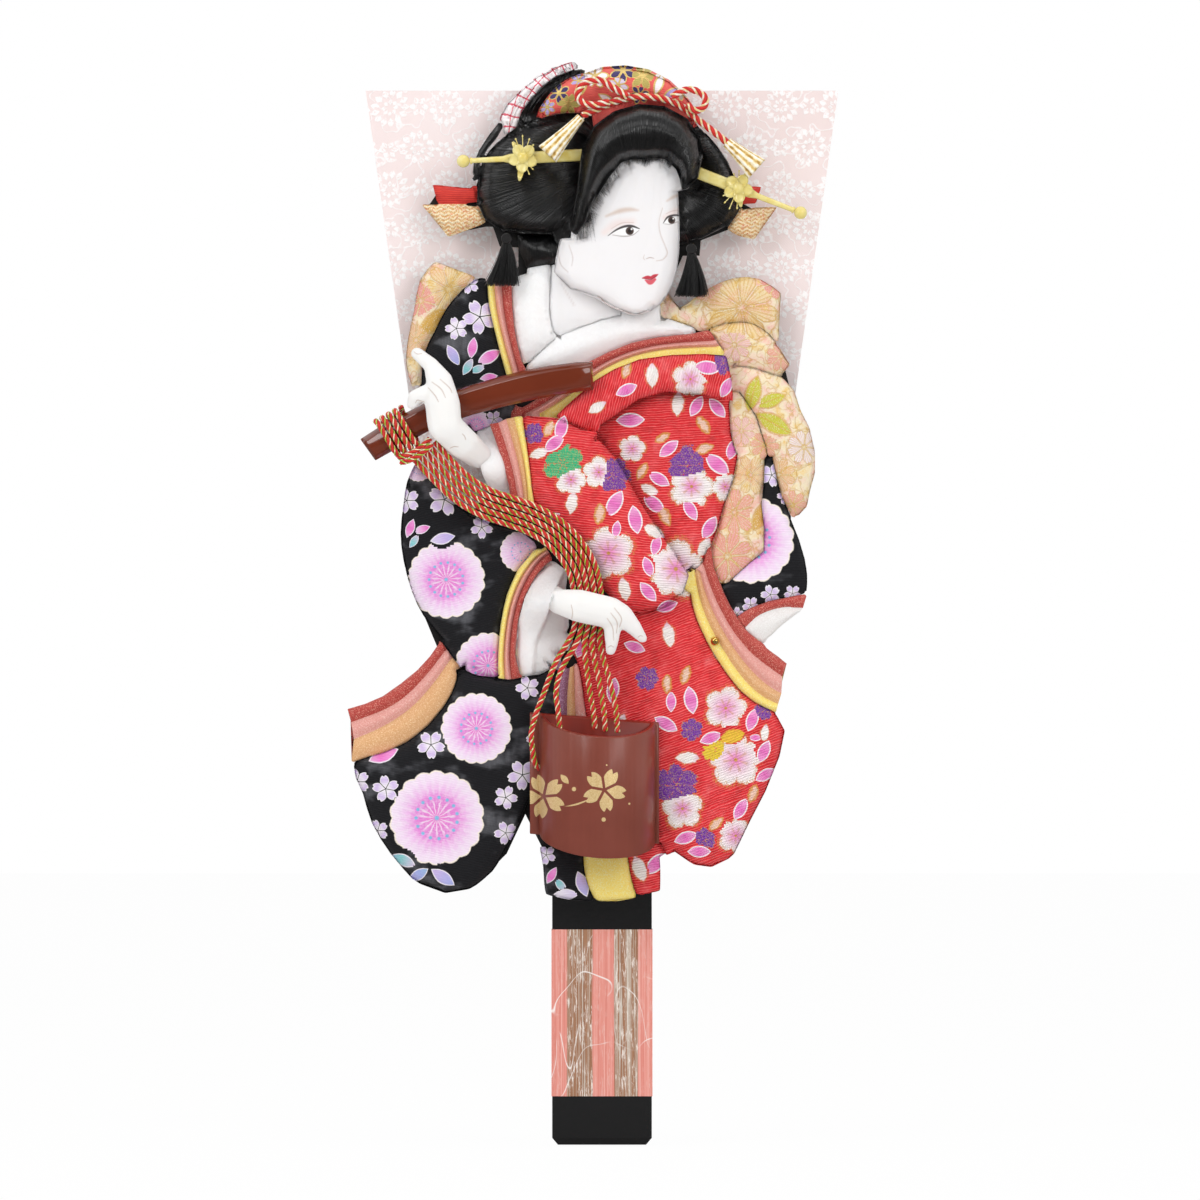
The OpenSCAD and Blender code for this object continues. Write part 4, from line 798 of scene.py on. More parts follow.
beads = (bead + out.under(0.045, 0.01)).capped()
kiku = beads.mix(kiku, "8cc3e6")
kiku = disc.under(0.03, 0.01).mix(kiku, "fff3e6")
colour = round_mask.mix(colour, kiku)

inside, along = use(tree, flower, Out=out, Round=angle, Petals=5.0, Wide=0.32, Notch=0.13)
bloom = along + shade * 0.5 - 0.25
bloom = bloom.ramp((0.2, "f7effb"), (0.55, "dcc6f1"), (0.85, "e9dbf7"), (1.0, "faf5fd"))
bloom = inside.under(0.16, 0.05).mix(bloom, "faf4f9")
colour = (inside.over(0.02, 0.03) * only(SAKURA)).mix(colour, bloom)

blade = (1 - across * across) * 0.46 - abs(up) + ragged * 0.05
tint = (shade + across * 0.12).ramp((0.0, "f4eefc"), (0.22, "cfbbee"), (0.42, "a9b6ee"), (0.62, "8fd3d6"),
                                    (0.8, "f0c6ea"), (0.92, "f07fcf"), (1.0, "f59add"))
tint = blade.under(0.09, 0.03).mix(tint, "f6f0f8")
colour = (blade.over(0.015, 0.02) * only(LEAF)).mix(colour, tint)
# Painted shade in the hollows of the ripples, over the print as well.
colour = ((1 - ridge) * 0.16).mix(colour, "1a1020")
end(material, colour, 0.82, ridge * 0.6 + fluff * 0.4, 0.00022, Sheen_Weight=0.08, Specular_IOR_Level=0.2)
black_crepe = material

BLACK_PADS = {"back_sleeve": 0, "black_skirt": 8, "panel_black": 0, "black_shoulder": 20, "black_sleeve": -10}
for seed, (node, weft) in enumerate(BLACK_PADS.items()):
    piece = wadded(node, cell=0.0008, rounds=60, rim=0.0022, slack=0.0005, wide=0.016, seed=seed + 7.0)
    lowest = 192 if node == "black_sleeve" else 0
    highest = 198 if node == "black_skirt" else 500
    print_on(piece, [motif for motif in BLACK_PRINT if lowest < motif[2] < highest], weft)
    stand_for(piece, black_crepe, "black_crepe", node, fill=0.75)

# Red crepe robe
# The inner robe: mottled red crepe with coarse ripples, printed with cherry flowers, loose petals in
# pink and white, gold-dusted edges and patches of purple and green. Padded and glued as the black.
RED_PRINT = [(BLOSSOM, *spot) for spot in (
    (31.7, 248.5, 13, 10, 0.3), (2.8, 255.3, 11.5, 30, 0.7), (53.2, 188.7, 9.5, 0, 0.7),
    (57.5, 166.5, 12, 20, 0.4), (38, 330, 8, 15, 0.4), (38.5, 284, 10, 0, 0.1), (34.6, 145.5, 9, 25, 0.2),
    (57.5, 133.8, 8, 0, 0.6), (-13.3, 286.8, 7, 0, 0.1), (-1.4, 290, 7, 20, 0.1), (53, 284, 6.5, 40, 0.1),
    (13, 300.3, 6, 10, 0.4))]
RED_PRINT += [(PETAL, *spot) for spot in (
    (10.5, 325.4, 5.2, 25, 0.5), (45.3, 335, 6.2, -5, 0.6), (53.4, 326.5, 5, 62, 0.4),
    (40.6, 318.6, 5.2, 60, 0.5), (49.6, 317.8, 5.4, -50, 0.5), (12.2, 312.6, 6.4, 2, 0.6),
    (28.7, 300.3, 5.4, 40, 0.6), (49.6, 293.5, 6.8, -40, 0.6), (-17.5, 309, 5.8, 75, 0.6),
    (-20.5, 302.5, 5.6, 40, 0.6), (5.4, 276.5, 6.6, 60, 0.5), (14.3, 269.7, 6.4, 100, 0.5),
    (22.4, 276.5, 6, -40, 0.5), (24.5, 287.2, 5.4, -30, 0.7), (38, 274, 5.4, -60, 0.5),
    (46.2, 266.3, 5.8, 60, 0.3), (6.2, 265.5, 4, 80, 0.6), (23.2, 258.7, 4.8, 75, 0.4),
    (19.8, 249.4, 4.8, -70, 0.6), (19.8, 238.7, 5.4, -50, 0.7), (27.5, 181.9, 5.8, -30, 0.5),
    (38.2, 192.2, 6.2, 100, 0.4), (46.8, 175.9, 5.2, 20, 0.6), (64.6, 183.7, 5.4, 70, 0.6),
    (69.6, 170, 5.4, 65, 0.5), (70.3, 160, 5, 30, 0.6), (59.6, 145.3, 5.4, 60, 0.7),
    (36, 133, 5.4, 20, 0.7), (41.8, 127, 5.2, 0, 0.6), (4.7, 196.5, 5.6, 80, 0.7),
    (29.7, 191.5, 4.6, 90, 0.5), (23.2, 121.7, 6.4, 45, 0.5), (-9, 215, 5, 70, 0.7),
    (44.5, 228.5, 4, 40, 0.5), (28, 232.5, 5, 20, 0.5), (-24, 327, 5, 40, 0.6), (64, 200, 5, -30, 0.6),
    (-22, 270, 4.6, 30, 0.5), (56, 300, 5, 70, 0.5), (14, 215, 5, -20, 0.6), (48, 118, 4.6, 20, 0.6),
    (66, 176, 3, 0, 0.5), (2, 228, 4.5, 50, 0.6))]
RED_PRINT += [(PALE_PETAL, *spot) for spot in (
    (21.5, 331.8, 5.6, 90, 0.2), (32.6, 319.5, 5.6, 85, 0.2), (-27, 298.2, 4.6, 20, 0.2),
    (-12.9, 277, 5.2, 80, 0.2), (20.6, 282.5, 4.6, -30, 0.3), (22.4, 264.6, 5.4, -30, 0.2),
    (9.6, 240, 5.4, 100, 0.2), (28.7, 220.3, 5.6, 100, 0.2), (36.8, 167.3, 5.4, 0, 0.3),
    (16.1, 119.5, 6.2, 110, 0.2), (-14, 326, 5.6, -10, 0.2), (44, 258, 5, 60, 0.3), (8, 182, 4.6, 70, 0.3),
    (70, 178, 4, 80, 0.3), (50, 213, 5, 110, 0.4), (-2, 318, 4.5, 30, 0.2))]
RED_PRINT += [(GOLD_PETAL, *spot) for spot in (
    (10.5, 334, 4.4, 70, 0.4), (43.6, 310.5, 5, -55, 0.4), (44, 300.3, 4.6, 20, 0.4),
    (-1, 272.3, 5.2, 80, 0.5), (27, 271.4, 5.2, -65, 0.5), (17.3, 290.6, 4.6, 60, 0.4),
    (-22.7, 308.8, 4.4, 60, 0.6), (26, 305, 4, 30, 0.4), (28, 199, 4.6, 90, 0.4), (56, 176.5, 6, 15, 1.0),
    (36, 203, 4.6, 70, 0.4), (49, 139, 4.4, 40, 0.4), (65, 152, 4.6, 70, 0.5), (-4, 238, 4.4, 40, 0.4))]
RED_PRINT += [(BLOT, *spot) for spot in (
    (51.7, 337, 5, 0, 0.1), (36.8, 293, 8.5, 0, 0.1), (-16.8, 294, 8.5, 0, 0.5), (-29, 306.7, 4.6, 90, 0.1),
    (4.8, 289, 7.5, 90, 0.1), (38.6, 179.4, 4.8, 0, 0.1), (32, 155.5, 9, 0, 0.1),
    (43.9, 132.3, 4.8, 0, 0.1), (69, 187, 4, 0, 0.1), (19.5, 201.5, 5, 20, 0.1), (49, 171, 6, 0, 0.95),
    (25, 106, 4, 0, 0.5))]

material, tree, at, only, shade, across, up, out, angle, ragged = start_print("red_crepe")
ridge = use(tree, crepe, Place=attribute(tree, "weft_at"), Apart=1.05)[0]
mottle = grain(at, 7.0, 3.0, 0.6)
colour = mottle.ramp((0.3, "d4131a"), (0.48, "ee2028"), (0.62, "f43c41"), (0.75, "fa686a"))
# Painted shade in the hollows of the ripples and painted highlight on their crests.
colour = ((1 - ridge).over(0.5, 0.3) * 0.2).mix(colour, "b00d15")
colour = (ridge.over(0.7, 0.15) * 0.5).mix(colour, "ff8a8a")
gold_dust = grain(at, 0.5, 3.0, 0.7).over(0.55, 0.06)
purple = shade.ramp((0.1, "7432a8"), (0.4, "7432a8"), (0.5, "27bd82"), (0.8, "2fc088"), (0.95, "f2d22e"))

lobes = abs((angle * 2.5).sum("COSINE")).sum("POWER", 0.55) * 0.3 + 0.68 + ragged * 0.2
disc = lobes - out
edge = abs(disc).under(0.14, 0.08) * gold_dust * only(BLOSSOM)
bloom = out.ramp((0.0, "ee7fc2"), (0.18, "f3a6d4"), (0.38, "fbe3ef"), (0.6, "fffaf7"))
bloom = (shade * out.under(0.7, 0.3) * 0.6).mix(bloom, "f291cb")
stamens = (angle * 7).sum("SINE").over(0.6, 0.2) * out.under(0.45, 0.05) * out.over(0.12, 0.04)
bloom = (stamens * 0.45 + out.under(0.07, 0.03)).mix(bloom, "d39a4c")
colour = (disc.over(0.0, 0.045) * only(BLOSSOM)).mix(colour, bloom)

lens_edge = (1 - across.sum("ABSOLUTE").sum("POWER", 2.3)) * 0.5 - abs(up) + ragged * 0.04
notch = (across - 0.72) - abs(up) * 0.9
petal = lens_edge.sum("MINIMUM", 0.28 - notch)
pink = (across * 0.5 + 0.5).ramp((0.1, "f8a6da"), (0.5, "f276c6"), (0.95, "f9b4e0"))
pink = petal.under(0.12, 0.03).mix(pink, "fff6fa")
colour = (petal.over(0.015, 0.02) * only(PETAL)).mix(colour, pink)
pale = (petal + ragged * 0.25)
pale_colour = (across * 0.5 + 0.5).ramp((0.1, "fff6f0"), (0.7, "fffaf6"), (1.0, "f6c3dc"))
colour = (pale.over(0.05, 0.06) * only(PALE_PETAL)).mix(colour, pale_colour)
colour = (abs(pale).under(0.1, 0.05) * gold_dust * only(PALE_PETAL) * 0.9).mix(colour, "d7a35c")

inside, along = use(
    tree, flower, Out=out * 0.95, Round=angle + ragged * 0.7, Petals=6.0, Wide=0.34, Notch=0.1)
cloud = inside + ragged * 0.35 + (grain(at, 0.8, 3.0) - 0.5) * 0.7 + 0.1
blot = cloud.over(0.0, 0.08) * only(BLOT)
colour = blot.mix(colour, (gold_dust * 0.5).mix(purple, "dfb877"))
colour = (abs(cloud).under(0.12, 0.06) * gold_dust * only(BLOT) * 0.9).mix(colour, "dca95a")
dusted = (petal + ragged * 0.3).over(0.02, 0.08) * only(GOLD_PETAL)
gold = shade.ramp((0.4, "dda548"), (0.7, "e8bd68"), (0.9, "f6da3a"))
gold = ((petal + ragged * 0.6).over(0.22, 0.1) * shade.under(0.8, 0.05) * 0.85).mix(gold, "fef0dd")
colour = (dusted * (gold_dust * 0.25 + 0.7)).mix(colour, gold)
colour = edge.mix(colour, "d9a24e")
# Painted shade in the hollows of the ripples, over the print as well.
colour = ((1 - ridge).over(0.5, 0.3) * 0.1).mix(colour, "9c4a58")
end(material, colour, 0.66, ridge, 0.0005, Sheen_Weight=0.1, Specular_IOR_Level=0.25)
red_crepe = material

RED_PADS = {"red_skirt": 20, "panel_red": 10, "red_bodice": 3, "red_flap": 75, "red_sleeve": -6}
for seed, (node, weft) in enumerate(RED_PADS.items()):
    piece = wadded(node, cell=0.0008, rounds=60, rim=0.0022, slack=0.0005, wide=0.016, seed=seed + 17.0)
    print_on(piece, RED_PRINT, weft)
    stand_for(piece, red_crepe, "red_crepe", node, fill=0.75)

# Layered edges
# Folded strips of lame cloth laid side by side at every hem, cuff and collar, one colour after the
# other, with a fine metal thread whose glints are painted on. Each strip is a fold of cloth, glued behind.


def strip_cloth(name, low, high, glint, fine):
    material, tree, at = begin(name)
    painted_glint, tone = use(tree, painted_glitter, Place=at, Fine=fine)
    nap = use(tree, weave, Place=at, Across=0.45, Along=0.6)[0]
    colour = (tone * 0.7 + nap * 0.3).ramp((0.3, low), (0.65, high))
    # Painted glints: metal thread flecks painted in the strip's pale glint colour.
    colour = (painted_glint * 0.6).mix(colour, glint)
    return end(material, colour, 0.6 - painted_glint * 0.25, nap * 0.4 + tone * 0.6, 0.0002,
               Metallic=painted_glint * 0.2, Sheen_Weight=0.15, Specular_IOR_Level=0.3)


# Each strip: its low and high colour, the pale colour of its painted glints, and how fine they lie.
STRIPS = {
    "red": strip_cloth("red_lame", "a32c27", "cd564c", "f6cbb6", 2.2),
    "pink": strip_cloth("pink_lame", "dc8f84", "f0b2a8", "fde3da", 2.0),
    "tan": strip_cloth("tan_lame", "d59a62", "eebe8e", "fae4bb", 2.0),
    "gold": strip_cloth("gold_lame", "f8d752", "fff096", "fff8c8", 1.8),
    "mauve": strip_cloth("mauve_lame", "7d4a66", "ad7a98", "d9b3cf", 2.0),
    "white": strip_cloth("white_edge", "e6e2df", "f4f2f0", "ffffff", 2.0),
}


def hanging_together(faces, parted):
    """Faces in groups: each group spreads from face to face, but not over a parted edge."""
    groups, left = [], set(faces)
    while left:
        waiting = [left.pop()]
        group = set(waiting)
        while waiting:
            for edge in waiting.pop().edges:
                if not parted(edge):
                    new = left.intersection(edge.link_faces)
                    left -= new
                    group |= new
                    waiting += new
        groups.append(group)
    return groups


def strips(node, direction, *colours):
    """Gives each strip of a layered edge its colour and rounds it; direction orders the strips."""
    bm = bmesh.new()
    bm.from_mesh(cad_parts[node].data)
    bmesh.ops.remove_doubles(bm, verts=bm.verts, dist=1e-6)
    bm.normal_update()
    depth = [-v.co.y for v in bm.verts]
    back, front = min(depth), max(depth)
    valley = back + 0.56 * (front - back)
    top = {f for f in bm.faces if f.normal.y < -0.08}

    def low(edge):
        return all(-v.co.y < valley for v in edge.verts)

    groups = sorted(hanging_together(top, low), key=lambda g: -len(g))[:len(colours)]
    lean = Vector((direction[0], 0, direction[1]))
    groups.sort(key=lambda g: sum((f.calc_center_median().dot(lean) for f in g)) / len(g))
    for number, group in enumerate(groups):
        for f in group:
            f.material_index = number
    for f in bm.faces:
        if f not in top:
            near = [g for e in f.edges for g in e.link_faces if g in top]
            if near:
                f.material_index = near[0].material_index
    crease = bm.edges.layers.float.new("crease_edge")
    for edge in bm.edges:
        if low(edge) or any(f not in top for f in edge.link_faces):
            edge[crease] = 1.0 if low(edge) else 0.5
    bmesh.ops.join_triangles(bm, faces=list(bm.faces), cmp_materials=True, angle_face_threshold=0.5,
                             angle_shape_threshold=3.1)
    mesh = bpy.data.meshes.new(node + "_strips")
    bm.to_mesh(mesh)
    bm.free()
    piece = link(node + "_strips", mesh)
    for colour in colours:
        mesh.materials.append(STRIPS[colour])
    rounder = piece.modifiers.new("round", "SUBSURF")
    rounder.levels = rounder.render_levels = 2
    settle(piece)
    return piece


for node, direction, colours in (
    ("hem_right", (1, 0.6), ("gold", "tan", "pink", "red")),
    ("hem_left", (0, -1), ("red", "pink", "tan")),
    ("back_cuff", (0.3, -1), ("red", "white")),
    ("inner_layers", (1, 0), ("mauve", "tan", "pink")),
    ("collar_left", (1, 0), ("gold", "pink", "red")),
    ("collar_right", (0, -1), ("red", "pink", "gold")),
    ("wrist_bands", (1, 0), ("red", "pink", "tan", "gold")),
    ("cuff_bands", (1, 0), ("gold", "pink", "red")),
):
    piece = strips(node, direction, *colours)
    close_up(piece, node)
    keep_under(piece, node)
    stand_for(piece, None, "banded_cloth", node, fill=0.5)

piece = wadded("panel_gold", cell=0.0008, rounds=40, rim=0.002, slack=0.0003, wide=0.012, seed=27.0)
stand_for(piece, STRIPS["gold"], "banded_cloth", "panel_gold", fill=0.7)

# White collars and linings
# White figured silk over thin wadding: the two under-collars at the neck and the linings that show
# in the mouths of the sleeves, glued in behind the bands.
material, tree, at = begin("white_silk")
figure = grain(at, 2.2, 3.0).over(0.52, 0.06)
nap = use(tree, weave, Place=at, Across=0.55, Along=0.55)[0]
tone = grain(at, 18.0, 2.0)
colour = (figure * 0.2 + tone * 0.3 + nap * 0.3).ramp((0.15, "faf9f9"), (0.6, "ffffff"))
end(material, colour, 0.6 - figure * 0.12, figure * 0.5 + nap * 0.5, 0.00012, Sheen_Weight=0.2,
    Specular_IOR_Level=0.3, Subsurface_Weight=0.5, Subsurface_Scale=0.004, Subsurface_Radius=(1.0, 0.95, 0.9))
white_silk = material
UPPER_WRIST = (-50, 292, 17, 34)
LOWER_WRIST, WRIST_HALF, WRIST_REACH = (234.5, 45.5), 9, 22
TURNED_EDGE = ((-29.7, 200), (-28.4, 216.7), (-23.7, 227.5), (-19.4, 239.9), (-14.6, 250))
FOLD_WIDE, FOLD_HIGH = 0.9, 0.0014


def raise_over(piece, x, height, reach, depth):
    """Lifts the cloth where a wrist runs in under it, to that depth, all in millimetres."""
    mesh = piece.data
    spots = points_of(mesh)
    normals = facing_of(mesh)
    away = np.hypot(spots[:, 0] * 1000 - x, spots[:, 2] * 1000 - height) / reach
    share = np.clip(1 - away * away, 0, 1) ** 2 * (normals[:, 1] < -0.2)
    spots[:, 1] -= share * np.clip(depth / 1000 + spots[:, 1], 0, 1)
    move_to(mesh, spots)


def turn_back(piece):
    """Folds the cloth back left of an edge: a small step, higher where the wrist comes out from under it."""
    mesh = piece.data
    spots = points_of(mesh)
    x, height = np.array(TURNED_EDGE).T
    inside = np.interp(spots[:, 2] * 1000, height, x) - spots[:, 0] * 1000
    edge = np.clip(inside / FOLD_WIDE + 0.5, 0, 1) * (facing_of(mesh)[:, 1] < -0.2)
    bulge = np.exp(-((spots[:, 2] * 1000 - LOWER_WRIST[0]) / WRIST_HALF) ** 2)
    bulge *= np.clip(1 - inside / WRIST_REACH, 0, 1) ** 1.5
    spots[:, 1] -= edge * (FOLD_HIGH + bulge * np.clip(LOWER_WRIST[1] / 1000 + spots[:, 1], 0, 1))
    move_to(mesh, spots)


for seed, node in enumerate(("collar_white_left", "collar_white_right", "wrist_lining", "cuff_lining")):
    rim = 0.0009 if node.startswith("collar") else 0.002
    piece = wadded(node, cell=0.0008, rounds=40, rim=rim, slack=0.0001, wide=0.014, seed=seed + 31.0)
    if node == "wrist_lining":
        raise_over(piece, *UPPER_WRIST)
    if node == "cuff_lining":
        turn_back(piece)
    stand_for(piece, white_silk, "white_silk", node, fill=0.6)

# Face, neck and hands
# White silk stretched over shaped wadding. The features and finger lines are brushed on in thin
# colour; hair is drawn onto the brow in fine grey strokes where the roll meets it.


def spread(points, per=6):
    """A smooth line through given points, with any further numbers carried along."""
    p = np.array(points, float)
    p = np.vstack((2 * p[0] - p[1], p, 2 * p[-1] - p[-2]))
    out = []
    for k in range(1, len(p) - 2):
        for t in np.linspace(0, 1, per, endpoint=False):
            a, b, c, d = p[k - 1:k + 3]
            out.append(0.5 * (2 * b + (c - a) * t + (2 * a - 5 * b + 4 * c - d) * t * t
                              + (3 * b - a - 3 * c + d) * t ** 3))
    return np.array(out + [p[-2]])


def refine(piece, boxes):
    """Cuts the front faces inside boxes (millimetres, x and height) into smaller ones for fine drawing."""
    with opened(piece.data) as bm:
        edges = set()
        for f in bm.faces:
            c = f.calc_center_median() * 1000
            if f.normal.y < -0.1 and any(x0 < c.x < x1 and z0 < c.z < z1 for x0, z0, x1, z1 in boxes):
                edges.update(f.edges)
        bmesh.ops.subdivide_edges(bm, edges=list(edges), cuts=1, use_grid_fill=True)
        bmesh.ops.triangulate(bm, faces=[f for f in bm.faces if len(f.verts) > 4])
    piece.data.shade_smooth()


def brush(piece, ground, strokes):
    """Brush strokes laid one over the other: colour, softness, strength, then (x, height, half width)."""
    mesh = piece.data
    spots = points_of(mesh)[:, [0, 2]] * 1000
    front = facing_of(mesh)[:, 1] < -0.05
    paint = np.tile(dye(ground), (len(spots), 1))
    for colour, soft, strength, *line in strokes:
        line = spread(line) if len(line) > 1 else np.array(line * 2, float)
        low, high = line.min(0), line.max(0)
        margin = line[:, 2].max() + 2 * soft
        near = front & (spots[:, 0] > low[0] - margin) & (spots[:, 0] < high[0] + margin)
        near &= (spots[:, 1] > low[1] - margin) & (spots[:, 1] < high[1] + margin)
        here = np.flatnonzero(near)
        cover = np.zeros(len(here))
        for p, q in zip(line[:-1], line[1:]):
            way = q[:2] - p[:2]
            t = np.clip((spots[here] - p[:2]) @ way / max(way @ way, 1e-9), 0, 1)
            away = np.linalg.norm(spots[here] - p[:2] - t[:, None] * way, axis=1)
            half_wide = p[2] + t * (q[2] - p[2])
            cover = np.maximum(cover, np.clip((half_wide - away) / soft + 0.5, 0, 1))
        cover = strength * cover * cover * (3 - 2 * cover)
        paint[here] += cover[:, None] * (np.array(dye(colour)) - paint[here])
    layer = mesh.color_attributes.new("paint", "FLOAT_COLOR", "POINT")
    layer.data.foreach_set("color", paint.ravel())


material, tree, at = begin("painted_silk")
nap = use(tree, weave, Place=at, Across=0.32, Along=0.32)[0]
paint = step(tree, "Attribute", attribute_name="paint")
colour = (nap * 0.03).mix(paint, "c9bdb8")
end(material, colour, nap * 0.1 + 0.5, nap, 0.00004, Sheen_Weight=0.15, Specular_IOR_Level=0.3,
    Subsurface_Weight=0.5, Subsurface_Scale=0.004, Subsurface_Radius=(1.0, 0.95, 0.9))
skin = material

LASH, IRIS, WHITE, ROSE = "2a2022", "4a3631", "fbfafa", "cf3a4c"
FACE_STROKES = (
    ("8f8f94", 4.0, 0.35, (-7, 398, 0.5), (-4, 404.5, 0.8), (-1, 410, 0.8), (3, 416.5, 0.8), (8.5, 423, 0.8),
     (13.5, 425, 0.8), (18, 424.3, 1.0), (23, 425.3, 0.8), (28, 424.6, 0.4), (31.5, 419, 0.3)),
    ("08080a", 0.5, 1.0, (34.4, 411.2, 0.4), (36.4, 412.2, 1.3), (39, 413.4, 1.6)),
    ("f3cfc4", 3.5, 0.35, (1, 393, 1.2), (6, 396.5, 1.6), (13, 397.6, 1.3)),
    ("f3cfc4", 3.0, 0.35, (27, 399.5, 1), (32, 402.5, 1.3)),
    ("caa98e", 1.8, 0.55, (1.8, 400, 0.3), (7.3, 402.1, 0.9), (12, 402.8, 0.8), (15.5, 402.5, 0.2)),
    ("caa98e", 1.5, 0.5, (28, 406.6, 0.3), (30.5, 408.2, 0.6), (32.7, 409.2, 0.5)),
    (WHITE, 0.25, 1.0, (4.5, 392.3, 0.3), (8, 393.2, 1.2), (12, 393.6, 1.6), (15.6, 394.2, 0.4)),
    (WHITE, 0.25, 1.0, (26.6, 397.2, 0.3), (29.5, 398.3, 1.4), (32.6, 399.6, 0.9)),
    (IRIS, 0.35, 1.0, (11.9, 393.6, 1.75)), ("1a1414", 0.3, 1.0, (11.9, 393.6, 0.85)),
    (IRIS, 0.35, 1.0, (29.9, 398.3, 1.55)), ("1a1414", 0.3, 1.0, (29.9, 398.3, 0.75)),
    ("ffffff", 0.2, 0.95, (12.7, 394.4, 0.4)), ("ffffff", 0.2, 0.95, (30.6, 399, 0.35)),
    (LASH, 0.35, 0.95, (2.6, 391.6, 0.12), (6, 394, 0.35), (9.5, 395.5, 0.5), (12.8, 395.7, 0.5),
     (16, 394.6, 0.22)),
    ("6b5048", 0.4, 0.7, (4.5, 391.9, 0.1), (9, 391.3, 0.18), (13, 391.8, 0.16), (15.8, 393.8, 0.1)),
    ("b7968a", 0.5, 0.5, (4, 394.6, 0.1), (8.5, 397, 0.15), (13.5, 397.2, 0.12)),
    (LASH, 0.35, 0.95, (26.3, 397, 0.12), (28, 399.4, 0.4), (30.5, 400.4, 0.45), (33.2, 400.6, 0.35)),
    ("6b5048", 0.4, 0.6, (26.8, 396.7, 0.1), (29.5, 396.6, 0.15), (32.6, 397.8, 0.12)),
    ("b7968a", 0.5, 0.5, (27.5, 401, 0.1), (30, 402.2, 0.14), (33, 402.8, 0.1)),
    ("cdbcb4", 0.6, 0.75, (26, 403.5, 0.1), (24.5, 398, 0.16), (25, 392.6, 0.18), (27.1, 387.2, 0.2),
     (28, 384, 0.22), (26.2, 381.5, 0.22), (23.4, 380.8, 0.12)),
    ("b59a90", 0.4, 0.8, (19, 381.7, 0.1), (20.6, 382.2, 0.2), (22.3, 381.9, 0.1)),
    ("cdbcb4", 0.4, 0.7, (18.2, 383.4, 0.1), (17.8, 382, 0.15), (18.4, 381.2, 0.1)),
    (ROSE, 0.4, 1.0, (17.3, 373.4, 0.2), (19.4, 373.7, 0.75), (21, 373.6, 0.65), (22.4, 374.2, 0.8),
     (24, 375, 0.2)),
    ("e0606e", 0.5, 1.0, (18.6, 372.5, 0.3), (20.7, 371.6, 1.05), (22.7, 372.8, 0.6)),
    ("8f2334", 0.25, 0.9, (17.3, 373.3, 0.1), (19.6, 372.9, 0.16), (21.2, 372.9, 0.18), (23.8, 374.7, 0.1)),
    ("bcaaa4", 0.6, 0.6, (-19.2, 389.4, 0.1), (-18.8, 384, 0.15), (-17.6, 379.2, 0.18), (-14.6, 376, 0.12)),
    ("bcaaa4", 0.6, 0.6, (-14.2, 387.6, 0.1), (-12.6, 382.4, 0.18), (-13, 378.6, 0.12)),
    ("c9a894", 0.7, 0.6, (-1.8, 365.9, 0.1), (3, 361.8, 0.16), (11.6, 358.4, 0.14)),
)
piece = wadded("face", cell=0.0006, rounds=60, rim=0.0028)
keep_under(piece, "face", 0.009)
drawn = [(1, 389, 18, 404.5), (25, 394, 34, 410.5), (16, 369, 25.5, 384.5)]
refine(piece, drawn + [(22, 384, 29.5, 404), (-21, 374, -11, 391), (-3, 357, 13, 367)])
refine(piece, drawn)
brush(piece, "f3f1f2", FACE_STROKES)
stand_for(piece, skin, "skin_silk", "face", fill=0.8)
face_cloth = piece.data

piece = wadded("neck", cell=0.0008, rounds=40, rim=0.0008)
brush(piece, "fbf9fa", [("bcaaa4", 1.0, 0.35, (-18, 372, 0.2), (-12, 362, 0.3))])
stand_for(piece, skin, "skin_silk", "neck", fill=0.8)

FINGER = ("b0907c", 0.35, 0.8)
HAND_LINES = {
    "hand_upper": (
        ((-74.5, 326.2, 0.1), (-71.4, 322.6, 0.17), (-70, 320, 0.1)),
        ((-72.9, 328.6, 0.1), (-68.9, 325.5, 0.17), (-67, 321.8, 0.1)),
        ((-69.4, 329.8, 0.1), (-65.4, 326.2, 0.17), (-64.2, 323.9, 0.1)),
        ((-65.2, 300.2, 0.1), (-63.4, 300.9, 0.15), (-61.6, 300.8, 0.1)),
        ((-59.8, 306.4, 0.1), (-58.8, 305.2, 0.15), (-58.4, 303.8, 0.1)),
        ((-79.9, 319.6, 0.1), (-79, 320.8, 0.15), (-76.1, 320, 0.1)),
        ((-80.6, 341.6, 0.1), (-79.2, 340.6, 0.14), (-77.2, 340.8, 0.1))),
    "hand_lower": (
        ((5.3, 231.8, 0.1), (8.3, 227.4, 0.16), (7.4, 223.4, 0.1)),
        ((3.7, 229.7, 0.1), (6.4, 225.7, 0.16), (6.2, 221, 0.1)),
        ((2.2, 227.4, 0.1), (4.5, 223.4, 0.16), (5, 218, 0.1)),
        ((-13.2, 233.2, 0.1), (-12.6, 230, 0.14), (-12.9, 227.2, 0.1)),
        ((15.4, 219.2, 0.1), (16.4, 219.9, 0.12), (17.5, 219.6, 0.1)),
        ((2.6, 214.9, 0.1), (3.8, 215.6, 0.12), (5, 215, 0.1))),
}
for node, lines in HAND_LINES.items():
    piece = evened(node, 0.0006)
    smooth = piece.modifiers.new("smooth", "SMOOTH")
    smooth.factor, smooth.iterations = 0.5, 12
    settle(piece)
    low, high = (np.array(corner) * 1000 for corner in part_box(node))
    refine(piece, [(low[0], low[2], high[0], high[2])])
    brush(piece, "f4f3f1", [(*FINGER, *line) for line in lines])
    stand_for(piece, skin, "skin_silk", node, fill=0.8)

